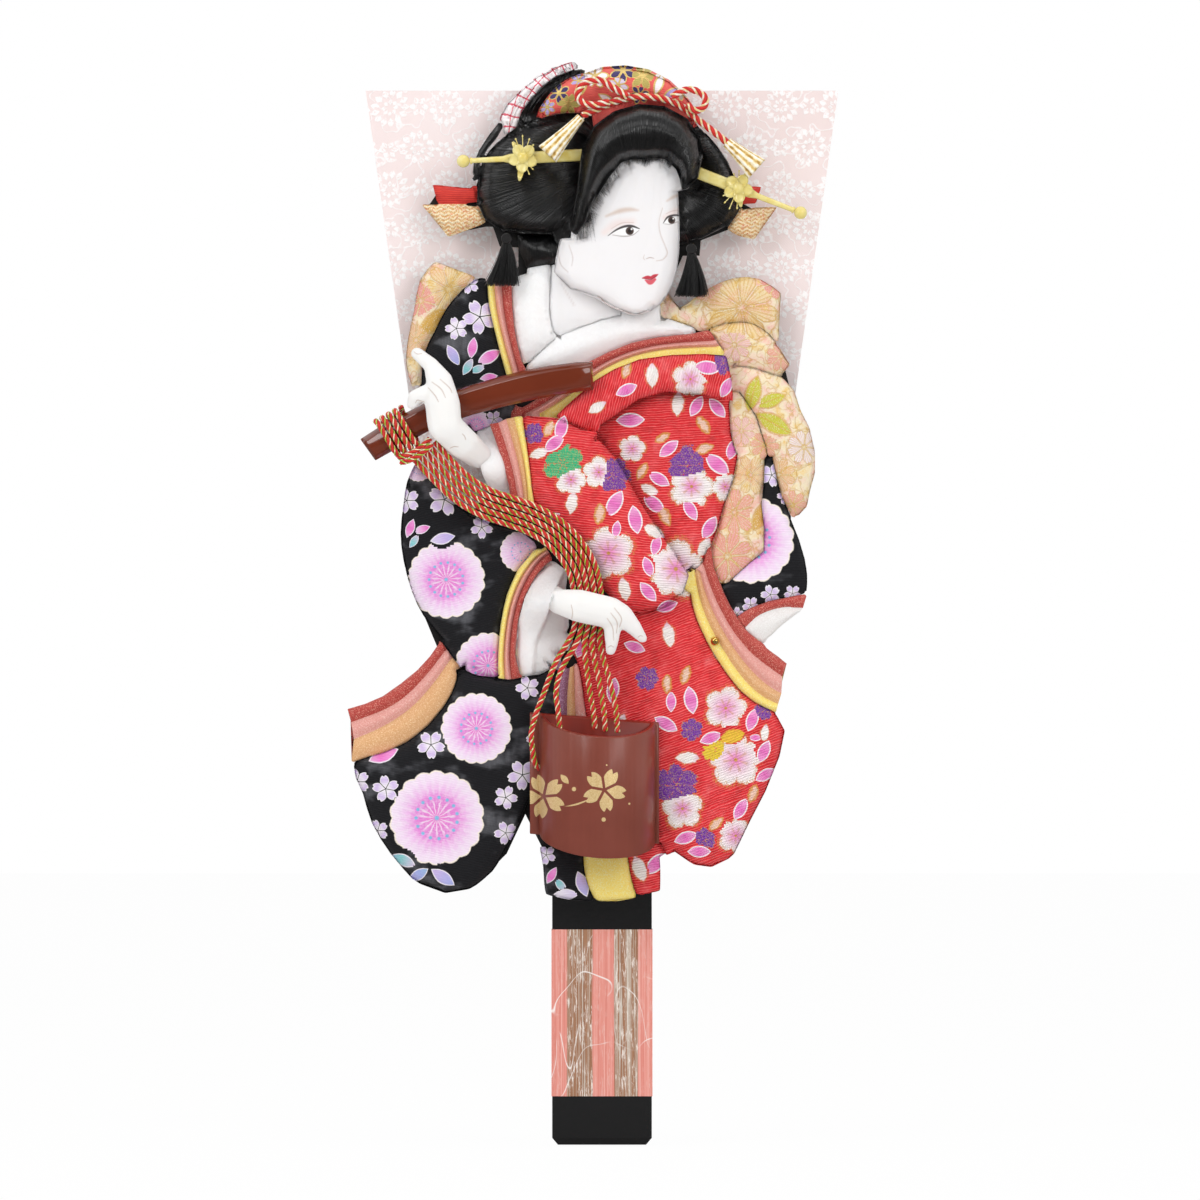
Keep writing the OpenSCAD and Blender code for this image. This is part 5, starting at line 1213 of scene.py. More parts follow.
# Hair
# Black silk floss laid strand by strand over wadded card and glued: the front roll, the side wing,
# the crescent, the right side and the nape. Short loose hairs soften the roll's edge on the brow.
material, tree, at = begin("black_floss")
shade = grain(at, 0.9, 3.0)
colour = shade.ramp((0.35, "030304"), (0.7, "0c0c0d"))
floss = end(material, colour, shade * 0.12 + 0.24, Specular_IOR_Level=0.9)


def shape(tree, kind, values=None, out=0, **settings):
    """One step of a shape recipe."""
    node = tree.nodes.new(kind)
    for name, value in settings.items():
        setattr(node, name, value)
    for name, value in (values or {}).items():
        plug(tree, value, node.inputs[name])
    return Lead(tree, node.outputs[out])


def recipe(name, takes, make):
    """A Geometry Nodes tree with named inputs; make turns them into the finished shape."""
    tree = bpy.data.node_groups.new(name, "GeometryNodeTree")
    kinds = {"Geometry": "NodeSocketGeometry", None: "NodeSocketMaterial"}
    for label, value in takes.items():
        kind = kinds.get(value) or ("NodeSocketInt" if isinstance(value, int) else "NodeSocketFloat")
        socket = tree.interface.new_socket(label, in_out="INPUT", socket_type=kind)
        if isinstance(value, (int, float)):
            socket.default_value = value
    tree.interface.new_socket("Made", in_out="OUTPUT", socket_type="NodeSocketGeometry")
    source = tree.nodes.new("NodeGroupInput")
    sink = tree.nodes.new("NodeGroupOutput")
    made = make(tree, *(Lead(tree, source.outputs[label]) for label in takes))
    tree.links.new(made.socket, sink.inputs[0])
    return tree


def grow(name, mesh, tree, **values):
    """Runs a recipe on a mesh and keeps the result as a plain piece."""
    piece = link(name, mesh)
    maker = piece.modifiers.new("make", "NODES")
    maker.node_group = tree
    for item in tree.interface.items_tree:
        label = item.name.lower().replace(" ", "_")
        if label in values:
            maker[item.identifier] = values[label]
    settle(piece)
    return piece


def lay_strands(tree, lines, thick, hold, tip, finish):
    """A round strand along each line, drawn out to a thin tip."""
    way = shape(tree, "GeometryNodeMeshToCurve", {0: lines})
    run = shape(tree, "GeometryNodeSplineParameter")
    thin = 1 - run.sum("POWER", hold) * (1 - tip)
    ring = shape(tree, "GeometryNodeCurvePrimitiveCircle", {"Resolution": 3, "Radius": thick})
    body = shape(tree, "GeometryNodeCurveToMesh", {0: way, 1: ring, "Scale": thin, "Fill Caps": True})
    plain = shape(tree, "GeometryNodeRealizeInstances", {0: body})
    return shape(tree, "GeometryNodeSetMaterial", {0: plain, "Material": finish})


laid_strands = recipe(
    "Laid strands", {"Lines": "Geometry", "Thick": 0.00017, "Hold": 6.0, "Tip": 0.4, "Finish": None},
    lay_strands)


def dome(piece, high, half, ridge=0.0, apart=0.006):
    """Fuller wadding: the front rises towards the middle, in ridges that follow the edge."""
    mesh = piece.data
    spots = points_of(mesh)
    normals = facing_of(mesh)
    front = np.flatnonzero(normals[:, 1] < -0.2)
    inside = from_edge(spots, normals, front)
    rise = high * (1 - (1 - np.minimum(inside / half, 1)) ** 2)
    spots[front, 1] -= rise + ridge * (1 - np.cos(2 * np.pi * inside / apart)) / 2
    move_to(mesh, spots)


def comb(name, meshes, lines, lift=0.0001, least=3):
    """Lays lines of (x, height) in millimetres on the front of meshes, and keeps the parts that lie there."""
    skins = [skin_over(mesh) for mesh in meshes]
    spots, edges = [], []
    for line in lines:
        run = []
        for x, z in [*line, (9e3, 9e3)]:
            hits = [skin.ray_cast(Vector((x / 1000, -0.1, z / 1000)), TO_BACK)[0] for skin in skins]
            hits = [hit.y for hit in hits if hit]
            if hits:
                run.append((x / 1000, min(hits) - lift, z / 1000))
                continue
            if len(run) >= least:
                edges += [(k, k + 1) for k in range(len(spots), len(spots) + len(run) - 1)]
                spots += run
            run = []
    mesh = bpy.data.meshes.new(name)
    mesh.from_pydata(spots, edges, [])
    return mesh


def add_to(piece, extra):
    """Joins a grown part to the piece it belongs to."""
    with opened(piece.data, piece.data, extra.data):
        bpy.data.objects.remove(extra)
    piece.data.shade_smooth()


def combed(way, middle, apart, far, rng):
    """Lines out from a middle, in rings round it, or straight down, each a little astray."""
    x, z = middle
    if way == "out":
        for angle in np.arange(0, 2 * math.pi, apart / far):
            a = angle + rng.normal(0, 0.4) * apart / far
            bend = rng.normal(0, 0.02)
            yield [(x + r * math.cos(a + bend * r / far), z + r * math.sin(a + bend * r / far))
                   for r in np.arange(4 + rng.random(), far, 1.3)]
    elif way == "round":
        for r in np.arange(4, far, apart):
            r += rng.normal(0, 0.4) * apart
            turns = np.arange(rng.random() * 0.04, 6.28, 1.3 / r)
            yield [(x + r * math.cos(a), z + r * math.sin(a)) for a in turns]
    else:
        for k in np.arange(-far, far, apart):
            k += rng.normal(0, 0.4) * apart
            yield [(x + k, z - r) for r in np.arange(-far + rng.random(), far, 1.3)]


# Rise of the wadding and its width, height and spacing of its ridges, then the strands: how they lie,
# their middle, spacing and reach.
HAIR = {
    "hair_front": (0.0028, 0.011, 0.0011, 0.0055, "out", (16, 400), 0.26, 70),
    "hair_wing": (0.0008, 0.012, 0.0, 0.006, "out", (6, 425), 0.3, 66),
    "hair_topknot": (0.0008, 0.004, 0.0, 0.006, "round", (-4, 436), 0.3, 50),
    "hair_right": (0.0012, 0.012, 0.0, 0.006, "out", (22, 419), 0.28, 52),
    "hair_nape": (0.002, 0.006, 0.0, 0.006, "down", (-22, 390), 0.28, 30),
}
rng = np.random.default_rng(5)
hair = {}
for node, (high, half, ridge, apart, way, middle, strand_apart, far) in HAIR.items():
    piece = wadded(node, cell=0.0006, rounds=60, rim=0.006, suffix="_floss")
    dome(piece, high, half, ridge, apart)
    relax(piece, 8, 0, -0.2)
    keep_under(piece, node)
    wires = comb(node + "_lines", [piece.data], combed(way, middle, strand_apart, far, rng))
    piece.data.materials.append(floss)
    add_to(piece, grow(node + "_strands", wires, laid_strands, finish=floss))
    hair[node] = piece

HAIRLINE = ((-7, 397.5), (-4, 404.5), (-1, 410), (3, 416.5), (8.5, 423), (13.5, 425.2), (18, 424.2),
            (23, 425.6), (28, 424.6), (30, 422.5))
FACE_MIDDLE = np.array((14.0, 392.0))
BROW_HAIRS, TEMPLE_HAIRS = 700, 110
roll, hair_lines = skin_over(hair["hair_front"].data), []
path = spread(HAIRLINE, 30)
for spot in path[rng.integers(0, len(path), BROW_HAIRS)]:
    inward = (FACE_MIDDLE - spot) / np.linalg.norm(FACE_MIDDLE - spot)
    lean = inward + np.array((-inward[1], inward[0])) * rng.normal(0, 0.15)
    length = rng.uniform(2.6, 5.4) * (0.6 if spot[1] > 421 else 1.0)
    length += 1.8 * math.exp(-(spot[0] - 19.5) ** 2 / 3)
    # From the brow back to where the roll begins.
    for back in np.arange(-7, 5, 0.25):
        edge = spot - inward * back
        if roll.ray_cast(Vector((edge[0], -100, edge[1])) / 1000, TO_BACK)[0]:
            hair_lines.append([edge + lean * (length * t - 0.8) for t in np.linspace(0, 1, 6)])
            break
for _ in range(TEMPLE_HAIRS):
    root = np.array((rng.uniform(-10, -5.5), rng.uniform(402, 409)))
    foot = np.array((root[0] * 1.15 + rng.uniform(-1.5, 4.5), rng.uniform(388.5, 396)))
    hair_lines.append([root + (foot - root) * t + (math.sin(3 * t) * 0.5, 0) for t in np.linspace(0, 1, 9)])
wires = comb("brow_lines", [face_cloth, hair["hair_front"].data, hair["hair_wing"].data], hair_lines, 0.00012)
brow = grow("brow_hairs", wires, laid_strands, thick=0.00007, hold=1.0, tip=0.15, finish=floss)
add_to(hair["hair_front"], brow)
for node, piece in hair.items():
    stand_for(piece, floss, "hair", node, fill=0.9)

# Cloth on the crown
# A padded band of coral crepe with gold-lined flowers over the crown, and behind the topknot a roll
# of white silk tied into small red-edged squares.
CROWN_PRINT = (
    (SAKURA, 9, 463, 6.5, 0, 0.0), (SAKURA, 17.5, 460.5, 6.5, 20, 0.9), (SAKURA, 7, 456.5, 4.8, 10, 0.45),
    (SAKURA, -3, 460.5, 6, 30, 0.35), (SAKURA, -18.5, 453, 5, 0, 0.05), (SAKURA, -14.5, 448.5, 5.2, 25, 0.9),
    (SAKURA, -23.5, 447, 3.8, 0, 0.5), (SAKURA, 16, 452.5, 4.4, 40, 0.1), (LEAF, 24.5, 457, 5, 70, 0.4),
    (LEAF, 29.5, 452.5, 5, 40, 0.6), (SAKURA, 34, 453.5, 4, 0, 0.8), (LEAF, -9, 455, 5, 60, 0.9),
    (SAKURA, 25.5, 461.5, 3.5, 0, 0.3), (SAKURA, -10, 458.5, 4, 0, 0.5), (LEAF, 2, 450.5, 4, -30, 0.4))
material, tree, at, only, shade, across, up, out, angle, ragged = start_print("crown_print")
ridge = use(tree, crepe, Place=attribute(tree, "weft_at"), Apart=0.8)[0]
colour = grain(at, 6.0).ramp((0.3, "dc4a45"), (0.7, "ec6a60"))
inside, along = use(tree, flower, Out=out, Round=angle, Petals=6.0, Wide=0.25, Notch=0.0)
bloom = shade.ramp((0.0, "3a2c66"), (0.1, "3a2c66"), (0.2, "f6e9ea"), (0.4, "f8f2f4"), (0.5, "b9a6dc"),
                   (0.7, "b9a6dc"), (0.85, "a79a4c"), (1.0, "d8c06a"))
blade = (1 - across * across) * 0.36 - abs(up)
petal = inside.over(0.03, 0.04) * only(SAKURA) + blade.over(0.02, 0.03) * only(LEAF)
rim = abs(inside - 0.08).under(0.15, 0.05) * only(SAKURA) + abs(blade).under(0.07, 0.03) * only(LEAF)
rim = (rim + out.under(0.13, 0.03) * only(SAKURA)).capped()
colour = petal.mix(colour, bloom)
colour = rim.mix(colour, "e3c777")
end(material, colour, 0.6 - rim * 0.2, ridge * 0.5 + rim * 0.5, 0.00025, Metallic=rim * 0.4, Sheen_Weight=0.1)
piece = wadded("red_cloth", cell=0.0007, rounds=50, rim=0.0025, slack=0.0005, wide=0.012, seed=41.0)
print_on(piece, CROWN_PRINT, 10)
stand_for(piece, material, "red_print", "red_cloth", fill=0.8)

TIED = 4.0
TOPKNOT_MIDDLE = (-4.0, 436.0)
material, tree, at = begin("tied_silk")
x, z = at.part("X") - TOPKNOT_MIDDLE[0], at.part("Z") - TOPKNOT_MIDDLE[1]
wave = (grain(at, 3.0) - 0.5) * 1.2
row = ((x * x + z * z).sum("SQRT") + wave) / TIED
column = (z.sum("ARCTAN2", x) * 30 + wave) / TIED
edge = abs(row.sum("FRACT") - 0.5).over(0.44, 0.03).most(abs(column.sum("FRACT") - 0.5).over(0.42, 0.03))
knot = 1 - (abs(row.sum("FRACT") - 0.5) + abs(column.sum("FRACT") - 0.5))
colour = (edge * grain(at, 1.0).over(0.36, 0.1)).mix("fbf5f6", "dd4f66")
end(material, colour, 0.65, knot, 0.0009, Sheen_Weight=0.15)
piece = wadded(
    "dotted_cloth", cell=0.0006, rounds=40, rim=0.002, slack=0.0005, wide=0.005, seed=43.0, fuller=0.002)
stand_for(piece, material, "dotted_cloth", "dotted_cloth", fill=0.7)

# Cloth ends at the sides
# Red crepe and gold weave, folded and lightly wadded. Their ends stand out behind the hair on both
# sides, the red above the gold, and are glued behind it.
material, tree, at = begin("plain_red_crepe")
ridge = use(tree, crepe, Place=at, Apart=0.9)[0]
# Lighter on the ripple crests and darker in their hollows: painted light and shade, mixed with random tone.
colour = (grain(at, 4.0) * 0.5 + ridge * 0.5).ramp((0.3, "bf1e18"), (0.7, "dc3a2c"))
plain_red = end(material, colour, 0.7, ridge, 0.0003, Sheen_Weight=0.1)
material, tree, at = begin("gold_weave")
zigzag = ((at.part("X") * 0.6).sum("PINGPONG", 1.1) + at.part("Z")) * (6.28 / 1.7)
bar = zigzag.sum("SINE") * 0.5 + 0.5
painted_glint, tone = use(tree, painted_glitter, Place=at, Fine=1.6)
colour = (bar * 0.2 + tone * 0.8).ramp((0.35, "d19a5c"), (0.5, "eccb94"), (0.62, "f8e8c6"))
colour = (grain(at, 1.4, 3.0, 0.7).over(0.58, 0.06) * 0.75).mix(colour, "dc7a58")
# Painted glints: flecks of the metal thread painted pale at fixed spots.
colour = (painted_glint * 0.7).mix(colour, "fff6dc")
gold_weave = end(material, colour, 0.5 - painted_glint * 0.2, bar * 0.6 + tone * 0.4, 0.0004, Metallic=painted_glint * 0.4)
for node in ("side_left", "side_right"):
    piece = wadded(node, cell=0.0007, rounds=30, rim=0.002, slack=0.0005, wide=0.01, seed=47.0)
    stand_for(piece, gold_weave, "gold_brocade", node, fill=0.4)
    piece.data.materials.append(plain_red)
    for face in piece.data.polygons:
        face.material_index = int(face.center.z > 0.4052 + (0.0006 if face.center.x < 0 else -0.0003))

# Twisted cords
# Silk cord of two thick plies and two thin ones. Five cords run from the winding on the pole to
# the bucket, under two short ties, and a heavier one is tied in a bow on the crown. All are glued.
PLIES = ("First ply", "Second ply", "Third ply", "Fourth ply")


def lay_plies(tree, route, lay, ply, thin, turn, *finishes):
    """Plies that wind round a route side by side, every second one thin, each in its own colour."""
    way = shape(tree, "GeometryNodeMeshToCurve", {0: route})
    run = shape(tree, "GeometryNodeSplineParameter", out=1)
    normal = shape(tree, "GeometryNodeInputNormal")
    tangent = shape(tree, "GeometryNodeInputTangent")
    side = step(tree, "VectorMath", {0: normal, 1: tangent}, operation="CROSS_PRODUCT")
    whole = tree.nodes.new("GeometryNodeJoinGeometry")
    for number, finish in enumerate(finishes):
        angle = run / turn * (2 * math.pi) + number * 2 * math.pi / len(finishes)
        thick = ply * thin if number % 2 else ply
        ring = shape(tree, "GeometryNodeCurvePrimitiveCircle", {"Resolution": 7, "Radius": thick})
        away = lay + ply - thick
        out = [step(tree, "VectorMath", {0: line, "Scale": angle.sum(how) * away}, operation="SCALE")
               for line, how in ((normal, "COSINE"), (side, "SINE"))]
        move = step(tree, "VectorMath", {0: out[0], 1: out[1]}, operation="ADD")
        path = shape(tree, "GeometryNodeSetPosition", {0: way, "Offset": move})
        body = shape(tree, "GeometryNodeCurveToMesh", {0: path, 1: ring, "Fill Caps": True})
        plain = shape(tree, "GeometryNodeRealizeInstances", {0: body})
        done = shape(tree, "GeometryNodeSetMaterial", {0: plain, "Material": finish})
        tree.links.new(done.socket, whole.inputs[0])
    return Lead(tree, whole.outputs[0])


twisted = recipe(
    "Twisted cord",
    {"Route": "Geometry", "Lay": 0.0006, "Ply": 0.0006, "Thin": 0.6, "Turn": 0.0034, **dict.fromkeys(PLIES)},
    lay_plies)


def routes(name, lines, apart=0.0004):
    """A wire along each line of (x, height, depth) points in millimetres, with points close together."""
    spots, edges = [], []
    for line in lines:
        fine = spread(line, 40)
        along = np.concatenate(([0], np.cumsum(np.linalg.norm(np.diff(fine, axis=0), axis=1)))) / 1000
        count = int(along[-1] / apart)
        even = np.stack([np.interp(np.linspace(0, along[-1], count), along, fine[:, k]) for k in range(3)], 1)
        start = len(spots)
        spots += [(x / 1000, -d / 1000, h / 1000) for x, h, d in even]
        edges += [(k, k + 1) for k in range(start, len(spots) - 1)]
    mesh = bpy.data.meshes.new(name)
    mesh.from_pydata(spots, edges, [])
    return mesh


def ply_finish(name, first, last, between):
    """Dyed silk that changes from one colour to the other, with painted shade between its threads."""
    material, tree, at = begin(name)
    thread = grain(at, 0.35, 3.0, 0.65)
    patch = grain(at, 1.8, 0.0)
    colour = patch.over(0.5, 0.03).mix(first, last)
    # Painted shade between the threads.
    colour = (thread * 0.25).mix(colour, between)
    return end(material, colour, 0.5, thread, 0.00015, Sheen_Weight=0.15, Specular_IOR_Level=0.4)


# Each ply: its first and last colour, then the colour of the painted shade between its threads.
red_ply = ply_finish("red_ply", "dc2a20", "cf1d16", "8a140e")
light_ply = ply_finish("cream_green_ply", "fdf4cc", "a5cc3c", "c9ad62")
white_ply = ply_finish("white_ply", "fbf3e4", "efd9a0", "c9ad62")


def plies(*finishes):
    return {label.lower().replace(" ", "_"): finish for label, finish in zip(PLIES, finishes * 2)}


CARRYING_CORD = {"lay": 0.0006, "ply": 0.00066, "thin": 0.44, "turn": -0.0072, **plies(red_ply, light_ply)}
BOW_CORD = {"lay": 0.0008, "ply": 0.00082, "thin": 0.6, "turn": -0.0085, **plies(red_ply, white_ply)}
CORD_RUN = ((-76, 299, 37), (-68, 290.5, 37.8), (-60, 283, 38.2), (-50, 277, 38.2), (-40, 273.5, 38.2),
            (-30, 269.8, 38.2), (-21, 264.5, 38.2), (-13.5, 257, 38.2), (-8.5, 248.5, 37.6),
            (-6.5, 240, 36.8), (-6, 232, 36.6), (-6, 224, 36.6))
CORD_ENDS = (
    ((-14.5, 217.5, 36.2), (-19.3, 209.5, 36.2), (-22.5, 202, 36.3), (-25.4, 194, 36.4), (-28.4, 186, 36),
     (-30.3, 178, 35.6), (-29.8, 171, 35), (-29.2, 166.6, 33.9), (-28, 163.8, 32), (-26, 162.4, 29.8)),
    ((-11, 216.5, 36.2), (-15.6, 209, 36.4), (-18.6, 202, 36.6), (-19.7, 195, 37), (-19, 189, 37.6),
     (-18.4, 183, 38), (-18.2, 177.5, 38.3)),
    ((-7.6, 216.5, 36.3), (-7, 209, 36.5), (-6, 201, 37), (-4.8, 193.5, 38), (-3.6, 187, 39),
     (-3, 180, 39.8)),
    ((-4.3, 217, 36.4), (-3.2, 209.5, 36.9), (-1.6, 202, 37.6), (-0.2, 194, 38.8), (0.9, 187, 40),
     (1.4, 179, 40.6)),
    ((-1, 218, 36.5), (0.6, 210, 37.1), (2.9, 202, 38), (4.8, 194, 39.4), (6.1, 187, 40.8),
     (6.6, 178.5, 41.4)))
CORD_TIE = ((-86.5, 294.2, 40), (-83, 294.8, 40.9), (-79, 297, 40.9), (-75.5, 299.5, 40.9), (-73, 302, 40.5))
SECOND_TIE = ((-87.4, 296.4, 38.8), (-83.7, 297.2, 39.9), (-79.7, 299.4, 39.9), (-76.2, 301.9, 39.9),
              (-73.8, 304.4, 39.4))
CORDS_APART = 2.9

run = np.array(CORD_RUN, float)
heading = np.gradient(run[:, :2], axis=0)
heading /= np.linalg.norm(heading, axis=1)[:, None]
lines = [CORD_TIE, SECOND_TIE]
for number, tail in enumerate(CORD_ENDS):
    beside = run.copy()
    beside[:, :2] += CORDS_APART * (number - 2) * np.stack((-heading[:, 1], heading[:, 0]), 1)
    lines.append([*map(tuple, beside), *tail])
piece = grow("cords_twisted", routes("cord_routes", lines), twisted, **CARRYING_CORD)
stand_for(piece, None, "twisted_cord", "cords")

POLE_TOP = ((-103.8, 304.3), (-95, 310), (-86, 314.8), (-77, 319.3), (-68, 323.3), (-58, 327))
POLE_LOW = ((-97.2, 295), (-90, 299), (-82, 303.5), (-74, 307.8), (-65, 311.5), (-55.5, 314.6))
WOUND_FROM, WOUND_TO, WOUND_PITCH, WOUND_MID = 0.95, 2.15, 3.1, 35.4
WOUND_HALF_WIDE, WOUND_HALF_DEEP, WOUND_TURNS, TURN_STEPS = 8.7, 5.3, 4, 24


def squared(part):
    """A sine or cosine drawn out, so that a circle comes near to a square with round corners."""
    return math.copysign(math.sqrt(abs(part)), part)


middle = (np.array(POLE_TOP) + np.array(POLE_LOW)) / 2
fine = spread(middle, 20)
start, stop = fine[round(WOUND_FROM * 20)], fine[round(WOUND_TO * 20)]
along = (stop - start) / np.linalg.norm(stop - start)
side = np.array((-along[1], along[0]))
coil = []
for k in range(WOUND_TURNS * TURN_STEPS + 1):
    angle = math.radians(360 / TURN_STEPS * k)
    spot = start + WOUND_PITCH * k / TURN_STEPS * along + WOUND_HALF_WIDE * squared(math.cos(angle)) * side
    coil.append((*spot, WOUND_MID + WOUND_HALF_DEEP * squared(math.sin(angle))))
piece = grow("winding_twisted", routes("winding_route", [coil]), twisted, **CARRYING_CORD)
stand_for(piece, None, "twisted_cord", "pole_winding")

BOW_LOW, BOW_HIGH = 33.2, 36.2
BOW_LINES = (
    ((-8.3, 443, 36.2), (-3.5, 445.3, BOW_LOW), (5, 449, BOW_LOW), (13, 451, BOW_LOW), (21, 451.2, BOW_LOW),
     (29, 449.5, BOW_LOW), (35, 446.5, BOW_LOW), (41, 441.5, 34.2), (47, 436.8, 36.2), (51.9, 432.9, 37.2),
     (54.6, 430.7, 37.7)),
    [(*p, BOW_HIGH) for p in ((11, 451.3), (5, 455), (-1, 458.2), (-7, 457.2), (-10.3, 453), (-9, 449),
                              (-3.5, 447.6), (3, 449))],
    [(*p, BOW_HIGH) for p in ((30, 451), (35, 453.8), (40, 453.8), (44, 451), (43.8, 447), (40, 445.2),
                              (36.5, 447.5))])
piece = grow("bow_cord_twisted", routes("bow_routes", BOW_LINES), twisted, **BOW_CORD)
stand_for(piece, None, "twisted_cord", "bow_cord")

# Paper caps of the bow
# Gold and white paper pleated into a cone and glued over each end of the bow, with the cord's red
# showing in its mouth.
FLUTES = 9


def paper_cap(name, start, stop, depth, r_start, r_stop):
    way = Vector((stop[0] - start[0], 0, stop[1] - start[1])) / 1000
    axis = way.normalized()
    side, front = Vector((-axis.z, 0, axis.x)), TO_FRONT
    base = Vector((start[0], -depth, start[1])) / 1000
    sections = [(t, 1.0) for t in np.linspace(0, 1, 16).tolist()] + [(0.985, 0.86), (0.8, 0.62), (0.78, 0.0)]
    sections.insert(0, (0.0, 0.0))
    sides, spots, flutes = 90, [], []
    for t, share in sections:
        for k in range(sides):
            angle = 2 * math.pi * k / sides
            flute = math.cos(FLUTES * angle)
            r = share * (r_start + (r_stop - r_start) * t ** 1.2) / 1000 * (1 + 0.11 * t * flute)
            spots.append(base + way * t + r * (math.cos(angle) * side + math.sin(angle) * front))
            flutes.append((flute, t, share))
    faces = [(a + k, a + (k + 1) % sides, a + sides + (k + 1) % sides, a + sides + k)
             for a in range(0, sides * (len(sections) - 1), sides) for k in range(sides)]
    mesh = bpy.data.meshes.new(name)
    mesh.from_pydata(spots, [], faces)
    mesh.attributes.new("flute", "FLOAT_VECTOR", "POINT").data.foreach_set("vector", np.array(flutes).ravel())
    with opened(mesh) as bm:
        bmesh.ops.remove_doubles(bm, verts=bm.verts, dist=1e-7)
        bmesh.ops.recalc_face_normals(bm, faces=bm.faces)
    mesh.shade_smooth()
    return link(name, mesh)


material, tree, at = begin("pleated_paper")
pleat = attribute(tree, "flute")
leafed = grain(at, 2.2, 4.0, 0.6)
# Lighter on the crests of the pleats and darker in their folds: painted light and shade, over the gold leaf's
# own pattern.
colour = pleat.part("X") * 0.2 + leafed
colour = colour.ramp((0.25, "bd9142"), (0.42, "e9cb84"), (0.56, "f9efd2"), (0.75, "fefaf0"))
deep = pleat.part("Z").under(0.75, 0.08) * pleat.part("Y").over(0.5, 0.1)
colour = deep.mix(colour, "b3261e")
end(material, colour, 0.38, leafed, 0.0001, Metallic=leafed.under(0.42, 0.1) * 0.35)
for name, node, cap in (
    ("cap_left", "tassel_left", ((-9, 442.3), (-23.5, 426.5), 36.5, 2.0, 4.8)),
    ("cap_right", "tassel_right", ((53.5, 431.5), (66.5, 420), 37.5, 2.4, 5.0)),
):
    stand_for(paper_cap(name, *cap), material, "gold_paper", node)

# Pole and bucket
# Carrying pole and small half-round bucket of wood in brown lacquer, edges eased. The bucket is
# redder inside, and cherry flowers, loose petals and dots are drawn on it in gold.


def eased(node, name, wide, steps):
    """A CAD node's shape with its sharp edges rounded."""
    mesh = merged_copy(node, name)
    with opened(mesh) as bm:
        bmesh.ops.dissolve_limit(bm, angle_limit=math.radians(0.5), verts=bm.verts, edges=bm.edges)
    piece = link(name, mesh)
    ease = piece.modifiers.new("ease", "BEVEL")
    ease.width, ease.segments, ease.limit_method, ease.angle_limit = wide, steps, "ANGLE", math.radians(18)
    ease.harden_normals = True
    settle(piece)
    return piece


material, tree, at = begin("brown_lacquer")
flow = grain(at, 20.0, 2.0)
dust = grain(at, 0.8, 3.0).over(0.74, 0.03)
colour = (flow * 0.5 + dust * 0.2).ramp((0.2, "6b2a14"), (0.6, "7a331c"))
end(material, colour, dust * 0.1 + 0.16, flow, 0.0001, Coat_Weight=0.4, Coat_Roughness=0.05)
stand_for(eased("pole", "pole_lacquered", 0.0011, 2), material, "brown_lacquer", "pole")

BUCKET_MIDDLE, BUCKET_BACK, BUCKET_R = -2.0, 27.8, 25.0
GOLD_FLOWERS = ((1.0, 154.0, 10.6, 0.45), (-25.0, 151.0, 10.8, 0.1))
GOLD_DOTS = ((-12.0, 154.3, 0.9), (2.0, 164.6, 0.35), (0.7, 141.3, 0.9), (11.7, 148.0, 0.45))
GOLD_PETALS = ((-16.0, 158.5, 2.6, 2.3), (-10.5, 148.3, 6.0, 0.3))
material, tree, at = begin("bucket_lacquer")
x, deep = at.part("X") - BUCKET_MIDDLE, at.part("Y") * -1 - BUCKET_BACK
outside = (x * x + deep * deep).sum("SQRT").over(BUCKET_R - 0.8, 0.2)
flow = grain(at, 18.0, 2.0)
colour = outside.mix("8f2613", flow.ramp((0.3, "7c392a"), (0.7, "853f30")))
gold = None
for cx, cz, size, turn in GOLD_FLOWERS:
    across, up, out, angle = use(tree, motif_frame, Place=at, Motif=(cx, cz, size), Turn=turn)
    inside, along = use(tree, flower, Out=out, Round=angle, Petals=5.0, Wide=0.31, Notch=0.2)
    mark = inside.over(0.14, 0.015)
    gold = mark if gold is None else gold.most(mark)
for cx, cz, size in GOLD_DOTS:
    across, up, out, angle = use(tree, motif_frame, Place=at, Motif=(cx, cz, size), Turn=0.0)
    gold = gold.most(out.under(1.0, 0.1))
for cx, cz, size, turn in GOLD_PETALS:
    across, up, out, angle = use(tree, motif_frame, Place=at, Motif=(cx, cz, size), Turn=turn)
    slim = 0.5 if size < 4 else 0.07
    bend = up if size < 4 else up - across * across * 0.12 + 0.06
    gold = gold.most(((1 - across * across) * slim - abs(bend)).over(0.01, 0.02))
gold = gold * outside
powder = grain(at, 0.5, 2.0)
colour = gold.mix(colour, powder.ramp((0.3, "dab67a"), (0.7, "efd59f")))
end(material, colour, gold * 0.05 + 0.36, flow * 0.3 + gold * 0.7, 0.00006, Metallic=gold * 0.3,
    Coat_Weight=(1 - gold) * 0.08, Coat_Roughness=0.1)
stand_for(eased("bucket", "bucket_lacquered", 0.0004, 2), material, "brown_lacquer", "bucket")

# Hairpins
# Cast pins of clear yellow resin pushed into the hair: a flat bar, a shank with a ball, and a small
# flower with stamens and two leaves glued on. Each slides out along its own bar.


def lathe(bm, sections, axes, sides):
    """Rings along a way: each (place along, half width, half depth), closed at both ends."""
    origin, axis, side, front = axes
    turns = [2 * math.pi * k / sides for k in range(sides)]
    rings = []
    for along, wide, deep in sections:
        middle = origin + axis * along
        rings.append([bm.verts.new(middle + side * (wide * math.cos(a)) + front * (deep * math.sin(a)))
                      for a in turns])
    for a, b in zip(rings, rings[1:]):
        for k in range(sides):
            bm.faces.new((a[k], a[(k + 1) % sides], b[(k + 1) % sides], b[k]))
    bm.faces.new(rings[0][::-1])
    bm.faces.new(rings[-1])


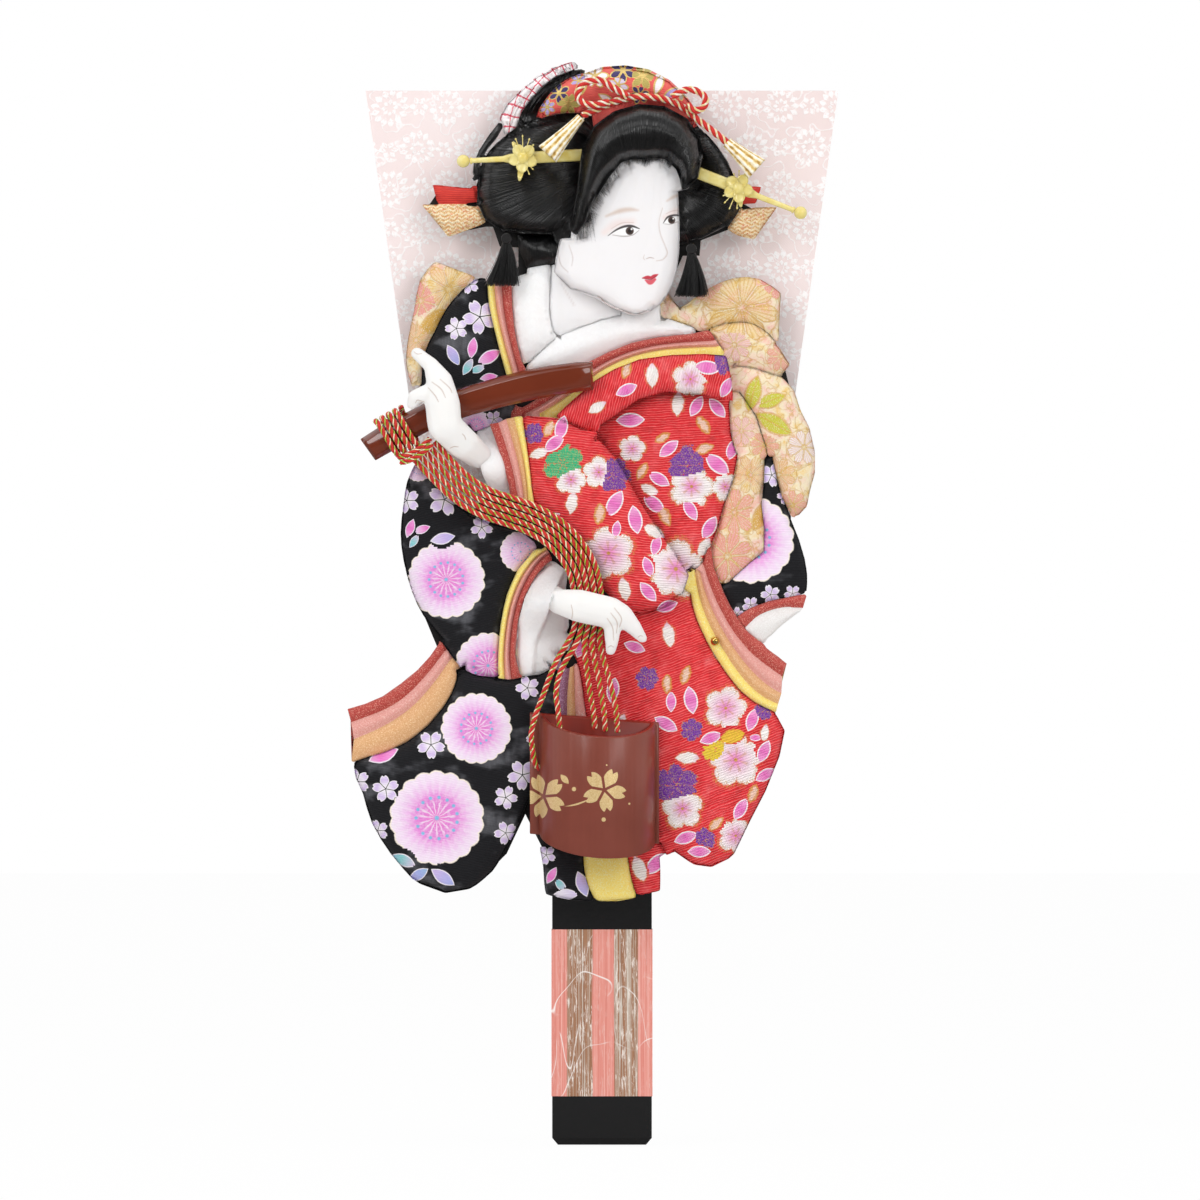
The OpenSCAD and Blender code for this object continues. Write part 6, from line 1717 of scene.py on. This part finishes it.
def blade_leaf(bm, origin, along, side, front, length, wide, thick, cup):
    """A small petal or leaf: a cupped blade with rounded edges, closed all round."""
    rows, cols, layers = 7, 5, []
    for lift in (0.0, thick):
        grid = []
        for i in range(rows):
            t = i / (rows - 1)
            half_wide = wide * math.sin(math.pi * min(0.97, 0.15 + 0.85 * t ** 1.3)) ** 0.5
            grid.append([bm.verts.new(origin + along * (length * t) + side * (half_wide * s)
                                      + front * (lift + cup * (s * s + 0.6 * t * t)))
                         for s in np.linspace(-1, 1, cols).tolist()])
        layers.append(grid)
    low, top = layers
    for i in range(rows - 1):
        for j in range(cols - 1):
            bm.faces.new((top[i][j], top[i][j + 1], top[i + 1][j + 1], top[i + 1][j]))
            bm.faces.new((low[i][j + 1], low[i][j], low[i + 1][j], low[i + 1][j + 1]))
    rim = [(0, j) for j in range(cols)] + [(i, cols - 1) for i in range(1, rows)]
    rim += [(rows - 1, j) for j in range(cols - 2, -1, -1)] + [(i, 0) for i in range(rows - 2, 0, -1)]
    for (a, b), (c, d) in zip(rim, rim[1:] + rim[:1]):
        bm.faces.new((low[a][b], low[c][d], top[c][d], top[a][b]))


PIN_BACK, PIN_THICK, PIN_WIDE, SHANK_WIDE, BALL_R = 28.6, 1.8, 4.6, 2.6, 2.8
PETAL_TURNS = (10, 82, 154, 226, 298)


def hairpin(name, start, turn, flower_at, ball_at):
    c, s = math.cos(math.radians(turn)), math.sin(math.radians(turn))
    axis, side, front = Vector((c, 0, s)), Vector((-s, 0, c)), TO_FRONT
    mm = 0.001
    origin = Vector((start[0], -PIN_BACK, start[1])) * mm
    middle = origin + front * (PIN_THICK / 2 * mm)
    bm = bmesh.new()
    thick, wide, shank = PIN_THICK / 2 * 1.12 * mm, PIN_WIDE / 2 * 1.12 * mm, SHANK_WIDE / 2 * mm
    bar = [(0, wide * 0.9, thick * 0.9), (0.0004, wide, thick), (flower_at * mm - 0.002, wide, thick),
           (flower_at * mm + 0.003, wide * 0.9, thick), (flower_at * mm + 0.006, shank * 1.5, thick),
           (flower_at * mm + 0.0085, shank, thick * 0.9), ((ball_at - 4) * mm, shank * 0.85, thick * 0.85),
           ((ball_at - 3.4) * mm, shank * 1.25, thick * 1.2), ((ball_at - 2.8) * mm, shank * 0.9, thick)]
    lathe(bm, bar, (middle, axis, side, front), 8)
    ball = [(ball_at * mm - BALL_R * mm * math.cos(a), BALL_R * mm * math.sin(a), BALL_R * mm * math.sin(a))
            for a in np.linspace(0.02, math.pi - 0.02, 13).tolist()]
    lathe(bm, ball, (middle, axis, side, front), 20)
    heart = origin + axis * (flower_at * mm) + front * (PIN_THICK * mm)

    def pointing(angle):
        a = math.radians(angle)
        return axis * math.cos(a) + side * math.sin(a), side * math.cos(a) - axis * math.sin(a)

    for angle in PETAL_TURNS:
        out, aside = pointing(angle)
        blade_leaf(bm, heart + out * 0.0008, out, aside, front, 0.0056, 0.0026, 0.0007, 0.0008)
    boss = [(0.0021 * math.sin(a) + 0.0003, 0.0027 * math.cos(a), 0.0027 * math.cos(a))
            for a in np.linspace(0, 1.5, 7).tolist()]
    lathe(bm, boss, (heart, front, side, axis), 14)
    for angle, length in ((72, 8.6), (92, 9.4), (112, 8.4), (132, 7.0), (252, 7.4), (232, 6.4)):
        out = (pointing(-angle)[0] + front * 0.12).normalized()
        thread = [(0.001, 0.00028, 0.00028), (length * mm - 0.0006, 0.0002, 0.0002),
                  (length * mm, 0.00042, 0.00042), (length * mm + 0.0005, 0.0002, 0.0002)]
        lathe(bm, thread, (heart + front * 0.0003, out, out.cross(front).normalized(), front), 6)
    for angle, length in ((282, 8.8), (60, 7.0)):
        out, aside = pointing(-angle)
        root = heart + out * 0.0012 - front * 0.0004
        blade_leaf(bm, root, out, aside, front, length * mm, 0.0013, 0.0004, 0.0004)
    bmesh.ops.recalc_face_normals(bm, faces=bm.faces)
    mesh = bpy.data.meshes.new(name)
    bm.to_mesh(mesh)
    bm.free()
    mesh.shade_smooth()
    return link(name, mesh)


material, tree, at = begin("yellow_resin")
cloud = grain(at, 4.0, 3.0)
end(material, cloud.ramp((0.3, "efd870"), (0.7, "faefa6")), cloud * 0.1 + 0.18, cloud, 0.0001,
    Transmission_Weight=0.12, Coat_Weight=0.3)
for name, pin in (("hairpin_left", ((-5.5, 426.6), 183, 28.5, 54.2)),
                  ("hairpin_right", ((37.5, 420.2), -21.3, 22.5, 51.3))):
    stand_for(hairpin(name + "_resin", *pin), material, "pin_resin", name, body=name)

# Hanging tufts
# Black silk bundles bound at the top round a small eye that hangs on a peg, and cut roughly level at
# the foot. Each swings a little on its peg.


def bundle(tree, peg, count, length, top, foot, deep, thick, seed, finish):
    """Single hairs that spread from a bound top to a wider foot, each of its own length and bend."""
    def chance(low, high, more):
        values = {2: low, 3: high, "Seed": seed + more}
        return shape(tree, "FunctionNodeRandomValue", values, out=1, data_type="FLOAT")

    turn, reach = chance(0.0, 2 * math.pi, 0), chance(0.0, 1.0, 1).sum("SQRT")
    c, s = turn.sum("COSINE") * reach, turn.sum("SINE") * reach
    start = step(tree, "CombineXYZ", {0: c * top, 1: s * top, 2: 0.0})
    fall = length * chance(0.86, 1.0, 2)
    bend = chance(-0.0009, 0.0009, 3)
    stop = step(tree, "CombineXYZ", {0: c * foot + bend, 1: s * deep, 2: fall * -1})
    way = step(tree, "VectorMath", {0: start, 1: stop}, operation="SUBTRACT")
    span = step(tree, "VectorMath", {0: way}, out=1, operation="LENGTH")
    roots = shape(tree, "GeometryNodePoints", {0: count})
    roots = shape(tree, "GeometryNodeSetPosition", {0: roots, "Position": start})
    line = shape(tree, "GeometryNodeCurvePrimitiveLine", {0: (0, 0, -1), 1: (0, 0, 0)})
    line = shape(tree, "GeometryNodeResampleCurve", {0: line, "Count": 5})
    run = shape(tree, "GeometryNodeSplineParameter")
    bow = step(tree, "CombineXYZ", {0: run * (1 - run) * 0.0022, 1: 0.0, 2: 0.0})
    line = shape(tree, "GeometryNodeSetPosition", {0: line, "Offset": bow})
    ring = shape(tree, "GeometryNodeCurvePrimitiveCircle", {"Resolution": 3, "Radius": thick})
    hair = shape(tree, "GeometryNodeCurveToMesh", {0: line, 1: ring, "Fill Caps": True})
    turned = shape(tree, "FunctionNodeAlignRotationToVector", {"Vector": way}, axis="Z")
    size = step(tree, "CombineXYZ", {0: 1.0, 1: 1.0, 2: span})
    placed = {0: roots, "Instance": hair, "Rotation": turned, "Scale": size}
    many = shape(tree, "GeometryNodeInstanceOnPoints", placed)
    plain = shape(tree, "GeometryNodeRealizeInstances", {0: many})
    return shape(tree, "GeometryNodeSetMaterial", {0: plain, "Material": finish})


tuft_recipe = recipe(
    "Hair tuft",
    {"Peg": "Geometry", "Count": 560, "Length": 0.02, "Top": 0.0015, "Foot": 0.006, "Deep": 0.0024,
     "Thick": 0.00011, "Seed": 3, "Finish": None},
    bundle)
TUFT_MID = 29.6
EYE_INNER, EYE_OUTER, EYE_DEEP, EYE_SIDES, EYE_WRAPS, WRAP_HIGH = 0.00106, 0.0023, 0.0019, 24, 5, 0.00018
EYE_TURNS = [2 * math.pi * k / EYE_SIDES for k in range(EYE_SIDES)]
EYE_SECTION = [
    (-EYE_DEEP + 2 * EYE_DEEP * k / (EYE_WRAPS * 6),
     EYE_OUTER - WRAP_HIGH * (1 + math.cos(2 * math.pi * k / 6)))
    for k in range(EYE_WRAPS * 6 + 1)
]
EYE_SECTION += [(EYE_DEEP, EYE_INNER), (-EYE_DEEP, EYE_INNER)]
for name, peg, length, foot, lean, seed in (
    ("tuft_left", (-41, 390.5), 0.0194, 0.0072, -2.0, 3), ("tuft_right", (38.4, 386), 0.0196, 0.0068, 0.1, 8),
):
    dot = bpy.data.meshes.new(name)
    dot.from_pydata([(0, 0, 0)], [], [])
    piece = grow(name + "_floss", dot, tuft_recipe, length=length, foot=foot, seed=seed, finish=floss)
    spots = points_of(piece.data)
    spots[:, 0] += (peg[0] + lean * -spots[:, 2] / length) / 1000
    spots[:, 1] -= TUFT_MID / 1000
    spots[:, 2] += (peg[1] - 1.2) / 1000
    move_to(piece.data, spots)
    centre = Vector((peg[0], -TUFT_MID, peg[1])) / 1000
    with opened(piece.data) as bm:
        loops = [
            [bm.verts.new(centre + Vector((r * math.cos(a), -along, r * math.sin(a)))) for a in EYE_TURNS]
            for along, r in EYE_SECTION
        ]
        for a, b in zip(loops, loops[1:] + loops[:1]):
            for k in range(EYE_SIDES):
                bm.faces.new((a[k], a[(k + 1) % EYE_SIDES], b[(k + 1) % EYE_SIDES], b[k]))
        bmesh.ops.recalc_face_normals(bm, faces=bm.faces)
    piece.data.shade_smooth()
    stand_for(piece, floss, "hair", name, body=name)

# Nail
# A small brass nail with a round head, driven through the layered hem on the right into the card
# behind it.
material, tree, at = begin("brass")
dull = grain(at, 0.7, 3.0)
end(material, dull.ramp((0.3, "c79a3c"), (0.7, "e8cc78")), dull * 0.2 + 0.16, dull, 0.00003, Metallic=1.0)
dress("nail", material)
